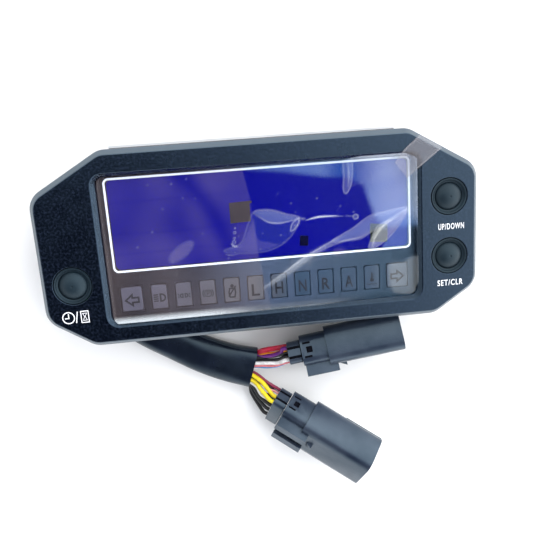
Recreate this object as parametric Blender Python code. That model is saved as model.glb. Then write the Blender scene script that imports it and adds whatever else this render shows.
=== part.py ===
"""Instrument cluster for a small off-road vehicle: a sealed display unit lying on its back, with its harness.

Built in millimetres and scaled to metres as each mesh is made. The display faces +Z, +X runs along its
longest side and +Y towards its top edge. The origin is under the middle of the unit, on the plane that the
rear mounting bosses stand on.
"""

import math

import bmesh
import bpy
from mathutils import Euler, Matrix, Vector

MM = 0.001
GAP = 0.3

# Unit outline at the front face, one corner after another, before rounding.
FACE_Z = 38.0
HALF_LENGTH = 90.0
HALF_WIDTH = 38.16
SIDE_TOP_Y = 21.9
SIDE_BOTTOM_Y = -26.9
TOP_EDGE_X = 62.1
BOTTOM_EDGE_X = 72.8
OUTLINE = [
    (-HALF_LENGTH, SIDE_BOTTOM_Y),
    (-BOTTOM_EDGE_X, -HALF_WIDTH),
    (BOTTOM_EDGE_X, -HALF_WIDTH),
    (HALF_LENGTH, SIDE_BOTTOM_Y),
    (HALF_LENGTH, SIDE_TOP_Y),
    (TOP_EDGE_X, HALF_WIDTH),
    (-TOP_EDGE_X, HALF_WIDTH),
    (-HALF_LENGTH, SIDE_TOP_Y),
]
OUTLINE_RADIUS = 7.0
CORNER_STEPS = 3

# Front bezel.
FACE_CHAMFER = 2.0
CHAMFER_DEPTH = 2.7
BEZEL_WALL = 2.2
ROUND_SIDES = 24
BEZEL_TOP_WALL = 2.1
BEZEL_BOTTOM_Z = 25.3
BEZEL_UNDERSIDE_Z = FACE_Z - BEZEL_TOP_WALL
WINDOW_FACE = (-67.05, -32.3, 67.05, 31.05)
WINDOW_LENS = (-65.2, -30.6, 65.2, 29.7)
WINDOW_RADIUS = 5.0

# Display stack, from the lens down to the circuit board.
LENS_TOP_Z = BEZEL_UNDERSIDE_Z - GAP
LENS_THICKNESS = 2.0
LENS_MARGIN = 2.5
MASK_TOP_Z = LENS_TOP_Z - LENS_THICKNESS - GAP
MASK_THICKNESS = 0.8
LCD_OPENING = (-61.6, -9.2, 62.5, 27.9)
LCD_TOP_Z = MASK_TOP_Z - MASK_THICKNESS - GAP
LCD_THICKNESS = 2.5
LCD_BOX = (-64.0, -11.6, 64.9, 30.3)
BACKLIGHT_TOP_Z = LCD_TOP_Z - LCD_THICKNESS - GAP
BACKLIGHT_THICKNESS = 2.9
BACKLIGHT_BOX = (-62.0, -11.0, 62.9, 27.0)
BOARD_TOP_Z = 23.6
BOARD_THICKNESS = 1.6
BOARD_BOTTOM_Z = BOARD_TOP_Z - BOARD_THICKNESS
LED_HALF = (1.0, 1.6)
LED_TOP_Z = BOARD_TOP_Z + 1.1

# Indicator tiles in one row under the display.
TILE_Y = (-27.1, -16.8)
TILE_MIDDLE_X = 0.5
TILE_PITCH = 10.15
TILE_WIDTH = 6.4
STRIP_BOX = (-64.0, -29.2, 64.9, -14.7)
STRIP_THICKNESS = 0.7
ARROW_TILES_X = ((-60.9, -52.3), (52.9, 61.8))

# Push buttons: cap, rubber boot, and the switch on the board under each.
BUTTONS = {"left": (-79.0, -13.1), "upper_right": (79.0, 11.0), "lower_right": (79.0, -14.4)}
BOOT_RADIUS = 7.5
BOOT_FLANGE_RADIUS = 9.0
CAP_RADIUS = 5.8
CAP_TOP_Z = 39.5
SWITCH_SIDE = 6.0
SWITCH_TOP_Z = 27.5
PLUNGER_RADIUS = 1.75
PLUNGER_TOP_Z = 29.5

# Back housing.
FLANGE_Z = (22.5, BEZEL_BOTTOM_Z - GAP)
HOUSING_INSET = -5.0
HOUSING_WALL = 2.2
REAR_Z = 14.0
LIP_OUT = 41.2
LIP_HALF_LENGTH = 60.0
SCREW_PLACES = [(sx * x, y) for sx in (-1, 1) for x, y in ((74.0, 24.0), (84.5, -1.7), (76.0, -27.0))]
PILLAR_RADIUS = 3.5
SCREW_RADIUS = 1.5
SCREW_HEAD_RADIUS = 2.8
SCREW_HEAD_Z = (14.6, 17.0)
SCREW_TIP_Z = 33.0
BOARD_SCREW_PLACES = [(sx * 50.0, y) for sx in (-1, 1) for y in (-12.6, 14.0)]
BOSS_PLACES = [(sx * 42.0, sy * 22.0) for sx in (-1, 1) for sy in (-1, 1)]
BOSS_RADIUS = 6.5
INSERT_RADIUS = 4.0
INSERT_BORE = 2.5
INSERT_LENGTH = 10.0

# Cable outlet: a raised box on the rear with a grommet in its lower side.
OUTLET_LOW = (-76.0, -10.0, 0.5)
OUTLET_HIGH = (-54.0, 12.0, REAR_Z + 0.5)
OUTLET_WALL = 2.2
OUTLET_FLOOR = 1.2
GROMMET_X = -65.0
GROMMET_Z = 6.8
GROMMET_LENGTH = 12.0

# Harness: a sleeve lying on the bench, and two bundles of wires from it to two connectors.
SLEEVE_RADIUS = 6.3
SLEEVE_ROUTE = [
    (-65.0, -22.3, 6.8),
    (-65.0, -28.0, 6.7),
    (-63.8, -34.0, 6.6),
    (-60.0, -40.0, 6.6),
    (-52.0, -46.2, 6.6),
    (-42.0, -52.4, 6.6),
    (-30.0, -58.6, 6.6),
    (-18.5, -64.2, 6.6),
    (-8.2, -68.7, 6.6),
]
BUNDLE_RADIUS = 2.9
REAR_BUNDLE_ROUTE = [
    (-6.1, -66.2, 6.6),
    (-2.6, -66.6, 6.8),
    (0.8, -65.6, 7.6),
    (3.9, -63.5, 9.2),
    (6.9, -62.2, 10.5),
    (9.8, -61.7, 10.9),
]
FRONT_BUNDLE_ROUTE = [
    (-8.6, -72.0, 6.6),
    (-5.8, -73.2, 6.7),
    (-3.6, -77.0, 6.4),
    (-3.6, -81.6, 6.4),
    (-1.8, -85.8, 7.3),
    (0.75, -87.4, 8.4),
]

# Sealed connectors, each in its own frame: +X from the wires to the open end, +Z out of the snap side.
SHROUD = (18.2, 23.4)
SHROUD_RADIUS = 4.5
SHROUD_X = (18.3, 53.2)
SHROUD_WALL = 1.5
SOCKET_FLOOR_X = 29.0
MID_BODY = (14.4, 21.8)
MID_BODY_X = 6.3
CAP_BODY = (10.6, 20.0)
CAP_LENGTH = 6.0
SEAL_BODY = (10.8, 18.2)
SEAL_CAVITY_END_X = 18.1
BLADE_PITCH = 3.1
BLADE_ROWS = (-2.4, 2.4)
BLADE_COLUMNS = 6
BLADE_SIZE = (1.5, 0.8)
BLADE_X = (17.0, 47.0)
RAIL_X = (6.8, 22.0)
RAIL_OUT = -12.4
RAIL_HALF = 6.6
RAIL_SLOT_HALF = 2.2
RAIL_SKIN = 1.2
REAR_CONNECTOR = ((10.6, -61.6, 11.0), (-20.8, -7.0, 9.4))
FRONT_CONNECTOR = ((1.4, -87.8, 8.65), (-48.5, -19.5, -32.4))


# ---------------------------------------------------------------- helpers


def clear_scene():
    for obj in list(bpy.data.objects):
        bpy.data.objects.remove(obj, do_unlink=True)


def finish(name, colour, roughness=0.5, metallic=0.0, alpha=1.0):
    """A Principled material for one part."""
    mat = bpy.data.materials.new(name)
    mat.use_nodes = True
    shader = mat.node_tree.nodes["Principled BSDF"]
    shader.inputs["Base Color"].default_value = (*colour, 1.0)
    shader.inputs["Roughness"].default_value = roughness
    shader.inputs["Metallic"].default_value = metallic
    shader.inputs["Alpha"].default_value = alpha
    mat.diffuse_color = (*colour, alpha)
    return mat


def grow(corners, distance):
    """The convex outline with each side moved outwards by distance."""
    moved = []
    count = len(corners)
    for i, corner in enumerate(corners):
        before = Vector(corner) - Vector(corners[i - 1])
        after = Vector(corners[(i + 1) % count]) - Vector(corner)
        out_before = Vector((before.y, -before.x)).normalized()
        out_after = Vector((after.y, -after.x)).normalized()
        bisector = (out_before + out_after).normalized()
        moved.append(Vector(corner) + bisector * (distance / bisector.dot(out_before)))
    return moved


def rounded(corners, radius, steps=CORNER_STEPS):
    """The outline, listed anticlockwise, with an arc of the given radius in each corner."""
    points = []
    count = len(corners)
    for i in range(count):
        corner = Vector(corners[i])
        to_before = (Vector(corners[i - 1]) - corner).normalized()
        to_after = (Vector(corners[(i + 1) % count]) - corner).normalized()
        half = to_before.angle(to_after) / 2
        centre = corner + (to_before + to_after).normalized() * (radius / math.sin(half))
        start = corner + to_before * (radius / math.tan(half)) - centre
        turn = math.pi - 2 * half
        for k in range(steps + 1):
            angle = turn * k / steps
            cos, sin = math.cos(angle), math.sin(angle)
            points.append((centre.x + start.x * cos - start.y * sin, centre.y + start.x * sin + start.y * cos))
    return points


def unit_outline(distance):
    """The unit's rounded outline, moved outwards from the front face's edge."""
    return rounded(grow(OUTLINE, distance), max(OUTLINE_RADIUS + distance, 1.0))


def rectangle(low_x, low_y, high_x, high_y, radius=0.0, steps=CORNER_STEPS):
    corners = [(low_x, low_y), (high_x, low_y), (high_x, high_y), (low_x, high_y)]
    return rounded(corners, radius, steps) if radius else corners


def circle(x, y, radius, sides=20):
    turns = [2 * math.pi * k / sides for k in range(sides)]
    return [(x + radius * math.cos(t), y + radius * math.sin(t)) for t in turns]


def loft(bm, loops, closed=False):
    """Adds one closed body through loops of equal length, capped at both ends unless it closes on itself."""
    rings = [[bm.verts.new(point) for point in loop] for loop in loops]
    pairs = list(zip(rings, rings[1:]))
    if closed:
        pairs.append((rings[-1], rings[0]))
    for lower, upper in pairs:
        for k in range(len(lower)):
            j = (k + 1) % len(lower)
            bm.faces.new((lower[k], lower[j], upper[j], upper[k]))
    if not closed:
        bm.faces.new(rings[0])
        bm.faces.new(rings[-1])


def stack(bm, layers):
    """A body through flat outlines, each given with its height."""
    loft(bm, [[(x, y, z) for x, y in outline] for outline, z in layers])


def plate(bm, outline, low_z, high_z):
    stack(bm, [(outline, low_z), (outline, high_z)])


def box(bm, low, high):
    plate(bm, rectangle(low[0], low[1], high[0], high[1]), low[2], high[2])


def turned(bm, profile, x=0.0, y=0.0, sides=20, ring=False):
    """A body turned about a vertical axis through (x, y), from (radius, height) pairs."""
    loops = [[(px, py, z) for px, py in circle(x, y, radius, sides)] for radius, z in profile]
    loft(bm, loops, closed=ring)


def bar(bm, outline, low_x, high_x):
    """A body along X: the outline holds (y, z) pairs."""
    loft(bm, [[(x, y, z) for y, z in outline] for x in (low_x, high_x)])


def node(name, bm, mat, parent=None, place=(0.0, 0.0, 0.0), helper=False):
    """Turns a bmesh in millimetres into an object in metres, with its origin at place."""
    bmesh.ops.recalc_face_normals(bm, faces=bm.faces)
    bmesh.ops.translate(bm, verts=bm.verts, vec=-Vector(place))
    bmesh.ops.scale(bm, verts=bm.verts, vec=(MM, MM, MM))
    mesh = bpy.data.meshes.new(name)
    bm.to_mesh(mesh)
    bm.free()
    obj = bpy.data.objects.new(name, mesh)
    bpy.context.scene.collection.objects.link(obj)
    obj.location = Vector(place) * MM
    obj.parent = parent
    if helper:
        obj.hide_render = True
        obj.display_type = "WIRE"
    else:
        mesh.materials.append(mat)
        mesh.shade_smooth()
        mesh.set_sharp_from_angle(angle=math.radians(35))
    return obj


def combine(obj, bm, operation, label):
    """Adds or cuts the bodies in bm with a Boolean modifier."""
    helper = node(f"{obj.name}_{label}", bm, None, parent=obj.parent, helper=True)
    modifier = obj.modifiers.new(label, "BOOLEAN")
    modifier.operation = operation
    modifier.object = helper
    modifier.use_self = True
    return obj


def pivot(name, place, degrees):
    """An empty that carries a connector's frame."""
    empty = bpy.data.objects.new(name, None)
    bpy.context.scene.collection.objects.link(empty)
    empty.location = Vector(place) * MM
    empty.rotation_euler = Euler([math.radians(angle) for angle in degrees], "XYZ")
    return empty


def smooth_route(points, spacing):
    """A smooth curve through the route's points, read every so many millimetres."""
    knots = [Vector(p) for p in points]
    knots = [2 * knots[0] - knots[1], *knots, 2 * knots[-1] - knots[-2]]
    fine = []
    per_span = 24
    for a, b, c, d in zip(knots, knots[1:], knots[2:], knots[3:]):
        for k in range(per_span):
            t = k / per_span
            fine.append(
                0.5 * (2 * b + (c - a) * t + (2 * a - 5 * b + 4 * c - d) * t**2 + (3 * b - a - 3 * c + d) * t**3)
            )
    fine.append(knots[-2])
    length = sum((q - p).length for p, q in zip(fine, fine[1:]))
    count = max(3, round(length / spacing))
    kept = [fine[0]]
    walked = 0.0
    for p, q in zip(fine, fine[1:]):
        walked += (q - p).length
        if walked >= length * len(kept) / count and len(kept) < count:
            kept.append(q)
    return [*kept, fine[-1]]


def tube(name, points, radius, spacing, mat, resolution):
    """A round cord along a smooth route."""
    curve = bpy.data.curves.new(name, "CURVE")
    curve.dimensions = "3D"
    curve.bevel_depth = radius * MM
    curve.bevel_resolution = resolution
    curve.use_fill_caps = True
    route = smooth_route(points, spacing)
    spline = curve.splines.new("POLY")
    spline.points.add(len(route) - 1)
    for point, place in zip(spline.points, route):
        point.co = (*(place * MM), 1.0)
    curve.materials.append(mat)
    obj = bpy.data.objects.new(name, curve)
    bpy.context.scene.collection.objects.link(obj)
    return obj


# ---------------------------------------------------------------- display unit


def front_bezel():
    inner = unit_outline(FACE_CHAMFER - BEZEL_WALL)
    outer = unit_outline(FACE_CHAMFER)
    bm = bmesh.new()
    stack(
        bm,
        [
            (inner, BEZEL_UNDERSIDE_Z),
            (inner, BEZEL_BOTTOM_Z),
            (outer, BEZEL_BOTTOM_Z),
            (outer, FACE_Z - CHAMFER_DEPTH),
            (unit_outline(0.0), FACE_Z),
        ],
    )
    bezel = node("front_bezel", bm, finish("bezel_plastic", (0.03, 0.035, 0.05), 0.5))
    bosses = bmesh.new()
    for x, y in SCREW_PLACES:
        turned(bosses, [(PILLAR_RADIUS - GAP, BEZEL_BOTTOM_Z + 0.2), (PILLAR_RADIUS - GAP, FACE_Z - 1.0)], x, y, 16)
    combine(bezel, bosses, "UNION", "bosses")
    cuts = bmesh.new()
    above = 0.4
    slope = (WINDOW_FACE[2] - WINDOW_LENS[2]) / BEZEL_TOP_WALL
    face_margin = slope * above
    stack(
        cuts,
        [
            (rectangle(*WINDOW_LENS, WINDOW_RADIUS - 2.0), BEZEL_UNDERSIDE_Z - above),
            (rectangle(*WINDOW_LENS, WINDOW_RADIUS - 2.0), BEZEL_UNDERSIDE_Z),
            (rectangle(*WINDOW_FACE, WINDOW_RADIUS), FACE_Z),
            (
                rectangle(
                    WINDOW_FACE[0] - face_margin,
                    WINDOW_FACE[1] - face_margin,
                    WINDOW_FACE[2] + face_margin,
                    WINDOW_FACE[3] + face_margin,
                    WINDOW_RADIUS,
                ),
                FACE_Z + above,
            ),
        ],
    )
    for x, y in BUTTONS.values():
        radius = BOOT_RADIUS + GAP
        turned(cuts, [(radius, BEZEL_UNDERSIDE_Z - above), (radius, FACE_Z + above)], x, y, ROUND_SIDES)
    for x, y in SCREW_PLACES:
        radius = SCREW_RADIUS + GAP
        turned(cuts, [(radius, BEZEL_BOTTOM_Z - above), (radius, SCREW_TIP_Z + 0.5)], x, y, 12)
    combine(bezel, cuts, "DIFFERENCE", "openings")


def window_and_film():
    low_x, low_y, high_x, high_y = WINDOW_LENS
    bm = bmesh.new()
    margin = LENS_MARGIN
    outline = rectangle(low_x - margin, low_y - margin, high_x + margin, high_y + margin, 3.0)
    plate(bm, outline, LENS_TOP_Z - LENS_THICKNESS, LENS_TOP_Z)
    node("window_lens", bm, finish("clear_lens", (0.6, 0.65, 0.75), 0.05, alpha=0.35))

    film_z = LENS_TOP_Z + GAP
    film_thickness = 0.15
    bm = bmesh.new()
    inset = 0.6
    outline = rectangle(low_x + inset, low_y + inset, high_x - inset, high_y - inset, 3.0)
    plate(bm, outline, film_z, film_z + film_thickness)
    film = finish("clear_film", (0.7, 0.7, 0.9), 0.1, alpha=0.3)
    node("protective_film", bm, film)

    low, high = film_z + film_thickness + GAP, FACE_Z + GAP
    sections = [
        ((56.5, 26.5), (61.5, 19.8), low),
        ((59.9, 31.6), (67.6, 25.0), high),
        ((66.4, 37.0), (76.0, 31.2), high),
    ]
    bm = bmesh.new()
    loft(bm, [[(*a, z), (*b, z), (*b, z + film_thickness), (*a, z + film_thickness)] for a, b, z in sections])
    node("film_pull_tab", bm, film)


def tile_spans():
    """The low and high X of each indicator tile, left to right."""
    narrow = []
    for i in range(10):
        middle = TILE_MIDDLE_X + (i - 4.5) * TILE_PITCH
        narrow.append((middle - TILE_WIDTH / 2, middle + TILE_WIDTH / 2))
    return [ARROW_TILES_X[0], *narrow, ARROW_TILES_X[1]]


def display_stack():
    low_x, low_y, high_x, high_y = WINDOW_LENS
    bm = bmesh.new()
    margin = LENS_MARGIN - GAP
    outline = rectangle(low_x - margin, low_y - margin, high_x + margin, high_y + margin, 3.0)
    plate(bm, outline, MASK_TOP_Z - MASK_THICKNESS, MASK_TOP_Z)
    mask = node("mask_plate", bm, finish("mask_print", (0.05, 0.05, 0.06), 0.4))
    cuts = bmesh.new()
    plate(cuts, rectangle(*LCD_OPENING, 2.0, 3), MASK_TOP_Z - 2.0, MASK_TOP_Z + 1.0)
    for low, high in tile_spans():
        hole = rectangle(low - GAP, TILE_Y[0] - GAP, high + GAP, TILE_Y[1] + GAP)
        plate(cuts, hole, MASK_TOP_Z - 2.0, MASK_TOP_Z + 1.0)
    combine(mask, cuts, "DIFFERENCE", "windows")

    bm = bmesh.new()
    plate(bm, rectangle(*STRIP_BOX), LCD_TOP_Z - STRIP_THICKNESS, LCD_TOP_Z)
    strip = node("indicator_tile_strip", bm, finish("tile_diffuser", (0.45, 0.45, 0.48), 0.4))
    tiles = bmesh.new()
    for low, high in tile_spans():
        outline = rectangle(low, TILE_Y[0], high, TILE_Y[1], 0.8, 2)
        plate(tiles, outline, LCD_TOP_Z - STRIP_THICKNESS / 2, MASK_TOP_Z)
    combine(strip, tiles, "UNION", "tiles")

    bm = bmesh.new()
    plate(bm, rectangle(*LCD_BOX), LCD_TOP_Z - LCD_THICKNESS, LCD_TOP_Z)
    node("lcd_panel", bm, finish("lcd_glass", (0.02, 0.02, 0.45), 0.15))
    bm = bmesh.new()
    plate(bm, rectangle(*BACKLIGHT_BOX), BACKLIGHT_TOP_Z - BACKLIGHT_THICKNESS, BACKLIGHT_TOP_Z)
    node("lcd_backlight", bm, finish("backlight_acrylic", (0.85, 0.88, 0.9), 0.3))
    bm = bmesh.new()
    box(bm, (-60.0, 27.6, BOARD_TOP_Z + GAP), (60.0, 30.0, BACKLIGHT_TOP_Z))
    node("lcd_contact_strip", bm, finish("contact_rubber", (0.75, 0.4, 0.45), 0.6))

    bm = bmesh.new()
    box_top = LCD_TOP_Z - STRIP_THICKNESS - GAP
    box(bm, (STRIP_BOX[0], STRIP_BOX[1], BOARD_TOP_Z + 0.4), (STRIP_BOX[2], STRIP_BOX[3], box_top))
    light_box = node("indicator_light_box", bm, finish("light_box_plastic", (0.8, 0.8, 0.78), 0.5))
    cells = bmesh.new()
    for low, high in tile_spans():
        inset = 0.6
        cell = rectangle(low + inset, TILE_Y[0] + inset, high - inset, TILE_Y[1] - inset)
        plate(cells, cell, BOARD_TOP_Z - 1.0, LCD_TOP_Z + 1.0)
    combine(light_box, cells, "DIFFERENCE", "cells")


def circuit_board():
    bm = bmesh.new()
    plate(bm, unit_outline(HOUSING_INSET - HOUSING_WALL - GAP), BOARD_BOTTOM_Z, BOARD_TOP_Z)
    board = node("circuit_board", bm, finish("board_laminate", (0.02, 0.22, 0.08), 0.5))
    leds = bmesh.new()
    for low, high in tile_spans():
        middle, row = (low + high) / 2, sum(TILE_Y) / 2
        half_x, half_y = LED_HALF
        box(leds, (middle - half_x, row - half_y, BOARD_TOP_Z - 0.5), (middle + half_x, row + half_y, LED_TOP_Z))
    combine(board, leds, "UNION", "leds")
    cuts = bmesh.new()
    for x, y in SCREW_PLACES:
        radius = PILLAR_RADIUS + 0.4
        turned(cuts, [(radius, BOARD_BOTTOM_Z - 1.0), (radius, BOARD_TOP_Z + 1.0)], x, y, 16)
    for x, y in BOARD_SCREW_PLACES:
        turned(cuts, [(1.5, BOARD_BOTTOM_Z - 1.0), (1.5, BOARD_TOP_Z + 1.0)], x, y, 10)
    combine(board, cuts, "DIFFERENCE", "holes")

    under = BOARD_BOTTOM_Z - GAP
    chip = finish("chip_resin", (0.02, 0.02, 0.02), 0.5)
    bm = bmesh.new()
    box(bm, (14.0, -1.0, under - 1.6), (26.0, 11.0, under))
    node("microcontroller", bm, chip)
    bm = bmesh.new()
    box(bm, (-30.0, -17.0, under - 2.3), (-23.5, -7.0, under))
    node("voltage_regulator", bm, chip)
    bm = bmesh.new()
    turned(bm, [(4.0, under - 5.0), (4.0, under)], 60.0, -16.0, 16)
    node("power_capacitor", bm, finish("capacitor_can", (0.7, 0.7, 0.72), 0.3, 1.0))
    bm = bmesh.new()
    box(bm, (-74.0, -1.0, under - 5.0), (-56.0, 5.0, under))
    node("harness_header", bm, finish("header_nylon", (0.85, 0.83, 0.75), 0.5))

    zinc = finish("zinc_steel", (0.7, 0.7, 0.68), 0.35, 1.0)
    head, shank = 2.0, 1.2
    for number, (x, y) in enumerate(BOARD_SCREW_PLACES, 1):
        bm = bmesh.new()
        top = BOARD_TOP_Z + GAP
        turned(bm, [(shank, BOARD_BOTTOM_Z - 4.5), (shank, top), (head, top), (head, top + 1.4)], x, y, 10)
        node(f"board_screw_{number}", bm, zinc)


def buttons():
    rubber = finish("button_rubber", (0.025, 0.028, 0.035), 0.6)
    for side, (x, y) in BUTTONS.items():
        bm = bmesh.new()
        low = BOARD_TOP_Z + GAP
        half = SWITCH_SIDE / 2
        box(bm, (x - half, y - half, low), (x + half, y + half, SWITCH_TOP_Z))
        switch = node(f"switch_{side}", bm, finish("switch_plastic", (0.1, 0.1, 0.1), 0.5))
        pocket = bmesh.new()
        radius = PLUNGER_RADIUS + GAP
        turned(pocket, [(radius, low + 1.1), (radius, SWITCH_TOP_Z + 1.0)], x, y, 12)
        combine(switch, pocket, "DIFFERENCE", "pocket")

        bm = bmesh.new()
        turned(bm, [(PLUNGER_RADIUS, SWITCH_TOP_Z - 1.4), (PLUNGER_RADIUS, PLUNGER_TOP_Z)], x, y, 12)
        node(f"plunger_{side}", bm, finish("plunger_plastic", (0.5, 0.1, 0.08), 0.5), place=(x, y, PLUNGER_TOP_Z))

        bm = bmesh.new()
        shoulder = 33.4
        profile = [
            (PLUNGER_RADIUS, PLUNGER_TOP_Z + GAP),
            (PLUNGER_RADIUS, shoulder),
            (CAP_RADIUS, shoulder),
            (CAP_RADIUS, CAP_TOP_Z - 1.4),
            (CAP_RADIUS * 0.9, CAP_TOP_Z - 0.7),
            (CAP_RADIUS * 0.6, CAP_TOP_Z - 0.2),
            (CAP_RADIUS * 0.2, CAP_TOP_Z),
        ]
        turned(bm, profile, x, y, ROUND_SIDES)
        node(f"button_{side}", bm, rubber, place=(x, y, FACE_Z))

        bm = bmesh.new()
        bore = CAP_RADIUS + GAP
        profile = [
            (bore, 33.8),
            (BOOT_FLANGE_RADIUS, 33.8),
            (BOOT_FLANGE_RADIUS, BEZEL_UNDERSIDE_Z - GAP),
            (BOOT_RADIUS, BEZEL_UNDERSIDE_Z - GAP),
            (BOOT_RADIUS, FACE_Z),
            (BOOT_RADIUS - 0.5, FACE_Z + 0.5),
            (bore + 0.4, FACE_Z + 0.5),
            (bore, FACE_Z + 0.1),
        ]
        turned(bm, profile, x, y, ROUND_SIDES, ring=True)
        node(f"boot_{side}", bm, rubber)


def back_housing():
    inner = unit_outline(HOUSING_INSET - HOUSING_WALL)
    wall = unit_outline(HOUSING_INSET)
    flange = unit_outline(FACE_CHAMFER)
    floor_z = REAR_Z + HOUSING_WALL
    bm = bmesh.new()
    stack(
        bm,
        [
            (wall, REAR_Z),
            (wall, FLANGE_Z[0]),
            (flange, FLANGE_Z[0]),
            (flange, FLANGE_Z[1]),
            (inner, FLANGE_Z[1]),
            (inner, floor_z),
        ],
    )
    housing = node("back_housing", bm, finish("housing_plastic", (0.05, 0.05, 0.055), 0.55))
    added = bmesh.new()
    for x, y in BOSS_PLACES:
        turned(added, [(BOSS_RADIUS, 0.0), (BOSS_RADIUS, REAR_Z + 0.5)], x, y, 24)
    for x, y in SCREW_PLACES:
        turned(added, [(PILLAR_RADIUS, REAR_Z), (PILLAR_RADIUS, FLANGE_Z[1])], x, y, 16)
    for x, y in BOARD_SCREW_PLACES:
        turned(added, [(3.0, floor_z - 0.5), (3.0, BOARD_BOTTOM_Z - GAP)], x, y, 12)
    box(added, OUTLET_LOW, OUTLET_HIGH)
    for low_y, high_y in ((HALF_WIDTH, LIP_OUT), (-LIP_OUT, -HALF_WIDTH)):
        box(added, (-LIP_HALF_LENGTH, low_y, 22.9), (LIP_HALF_LENGTH, high_y, 24.6))
    combine(housing, added, "UNION", "features")

    cuts = bmesh.new()
    for x, y in BOSS_PLACES:
        radius = INSERT_RADIUS + GAP
        turned(cuts, [(radius, -1.0), (radius, INSERT_LENGTH + 1.0)], x, y, 16)
    for x, y in SCREW_PLACES:
        turned(cuts, [(SCREW_HEAD_RADIUS + GAP, REAR_Z - 1.0), (SCREW_HEAD_RADIUS + GAP, 17.3)], x, y, 14)
        turned(cuts, [(SCREW_RADIUS + GAP, 17.2), (SCREW_RADIUS + GAP, 26.0)], x, y, 14)
    for x, y in BOARD_SCREW_PLACES:
        turned(cuts, [(1.5, floor_z + 0.4), (1.5, BOARD_TOP_Z)], x, y, 10)
    low = (OUTLET_LOW[0] + OUTLET_WALL, OUTLET_LOW[1] + OUTLET_WALL, OUTLET_LOW[2] + OUTLET_FLOOR)
    high = (OUTLET_HIGH[0] - OUTLET_WALL, OUTLET_HIGH[1] - OUTLET_WALL, floor_z + 1.0)
    box(cuts, low, high)
    combine(housing, cuts, "DIFFERENCE", "bores")
    gland = bmesh.new()
    turned(gland, [(4.6, -OUTLET_WALL - 1.0), (4.6, 1.0)], sides=16)
    aim_down_y(gland, (GROMMET_X, OUTLET_LOW[1], GROMMET_Z))
    turned(gland, [(3.3, REAR_Z - 1.0), (3.3, floor_z + 1.0)], 20.0, 26.0, 14)
    combine(housing, gland, "DIFFERENCE", "gland_and_vent")

    bm = bmesh.new()
    turned(bm, [(5.0, REAR_Z - 1.6), (5.0, REAR_Z - GAP), (3.0, REAR_Z - GAP), (3.0, floor_z + 0.6)], 20.0, 26.0, 14)
    node("breather_plug", bm, finish("breather_plastic", (0.3, 0.3, 0.32), 0.5))

    brass = finish("insert_brass", (0.75, 0.55, 0.25), 0.35, 1.0)
    for number, (x, y) in enumerate(BOSS_PLACES, 1):
        bm = bmesh.new()
        profile = [
            (INSERT_BORE, 0.4),
            (INSERT_RADIUS, 0.4),
            (INSERT_RADIUS, 4.2),
            (INSERT_RADIUS - 0.5, 4.7),
            (INSERT_RADIUS - 0.5, 5.7),
            (INSERT_RADIUS, 6.2),
            (INSERT_RADIUS, INSERT_LENGTH),
            (INSERT_BORE, INSERT_LENGTH),
        ]
        turned(bm, profile, x, y, 16, ring=True)
        node(f"threaded_insert_{number}", bm, brass)

    black_zinc = finish("black_zinc_steel", (0.15, 0.15, 0.16), 0.4, 1.0)
    for number, (x, y) in enumerate(SCREW_PLACES, 1):
        bm = bmesh.new()
        profile = [
            (SCREW_HEAD_RADIUS * 0.8, SCREW_HEAD_Z[0]),
            (SCREW_HEAD_RADIUS, SCREW_HEAD_Z[0] + 0.7),
            (SCREW_HEAD_RADIUS, SCREW_HEAD_Z[1]),
            (SCREW_RADIUS, SCREW_HEAD_Z[1]),
            (SCREW_RADIUS, SCREW_TIP_Z - 1.0),
            (SCREW_RADIUS * 0.5, SCREW_TIP_Z),
        ]
        turned(bm, profile, x, y, 12)
        node(f"case_screw_{number}", bm, black_zinc)

    bm = bmesh.new()
    outer = unit_outline(FACE_CHAMFER - BEZEL_WALL - GAP)
    inner = unit_outline(FACE_CHAMFER - BEZEL_WALL - GAP - 1.4)
    low_z, high_z = FLANGE_Z[1] + GAP, FLANGE_Z[1] + 1.8
    loops = [(outer, low_z), (outer, high_z), (inner, high_z), (inner, low_z)]
    loft(bm, [[(x, y, z) for x, y in outline] for outline, z in loops], closed=True)
    node("case_gasket", bm, finish("gasket_rubber", (0.04, 0.04, 0.04), 0.8))


def aim_down_y(bm, place):
    """Turns what is in bm so that its +Z points to -Y, and moves it to place."""
    bmesh.ops.rotate(bm, verts=bm.verts, matrix=Matrix.Rotation(math.radians(90), 3, "X"))
    bmesh.ops.translate(bm, verts=bm.verts, vec=place)


def harness():
    bm = bmesh.new()
    bore = 3.4
    profile = [
        (bore, -OUTLET_WALL - 1.8),
        (4.4, -OUTLET_WALL - 1.8),
        (4.8, -OUTLET_WALL - GAP),
        (4.3, -OUTLET_WALL - GAP),
        (4.3, GAP),
        (6.2, GAP),
        (6.2, 2.4),
        (5.6, 3.0),
        (5.6, 4.4),
        (6.0, 5.0),
        (6.0, 6.4),
        (5.6, 7.0),
        (5.6, 8.4),
        (5.9, 9.0),
        (5.9, GROMMET_LENGTH),
        (bore, GROMMET_LENGTH),
    ]
    turned(bm, profile, sides=16, ring=True)
    aim_down_y(bm, (GROMMET_X, OUTLET_LOW[1], GROMMET_Z))
    node("cable_grommet", bm, finish("grommet_rubber", (0.03, 0.03, 0.03), 0.7))
    sleeve = finish("sleeve_vinyl", (0.02, 0.022, 0.03), 0.45)
    tube("harness_sleeve", SLEEVE_ROUTE, SLEEVE_RADIUS, 6.0, sleeve, 4)
    wires = finish("wire_insulation", (0.6, 0.5, 0.1), 0.5)
    tube("wires_rear", REAR_BUNDLE_ROUTE, BUNDLE_RADIUS, 4.0, wires, 3)
    tube("wires_front", FRONT_BUNDLE_ROUTE, BUNDLE_RADIUS, 4.0, wires, 3)


# ---------------------------------------------------------------- connectors


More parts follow.
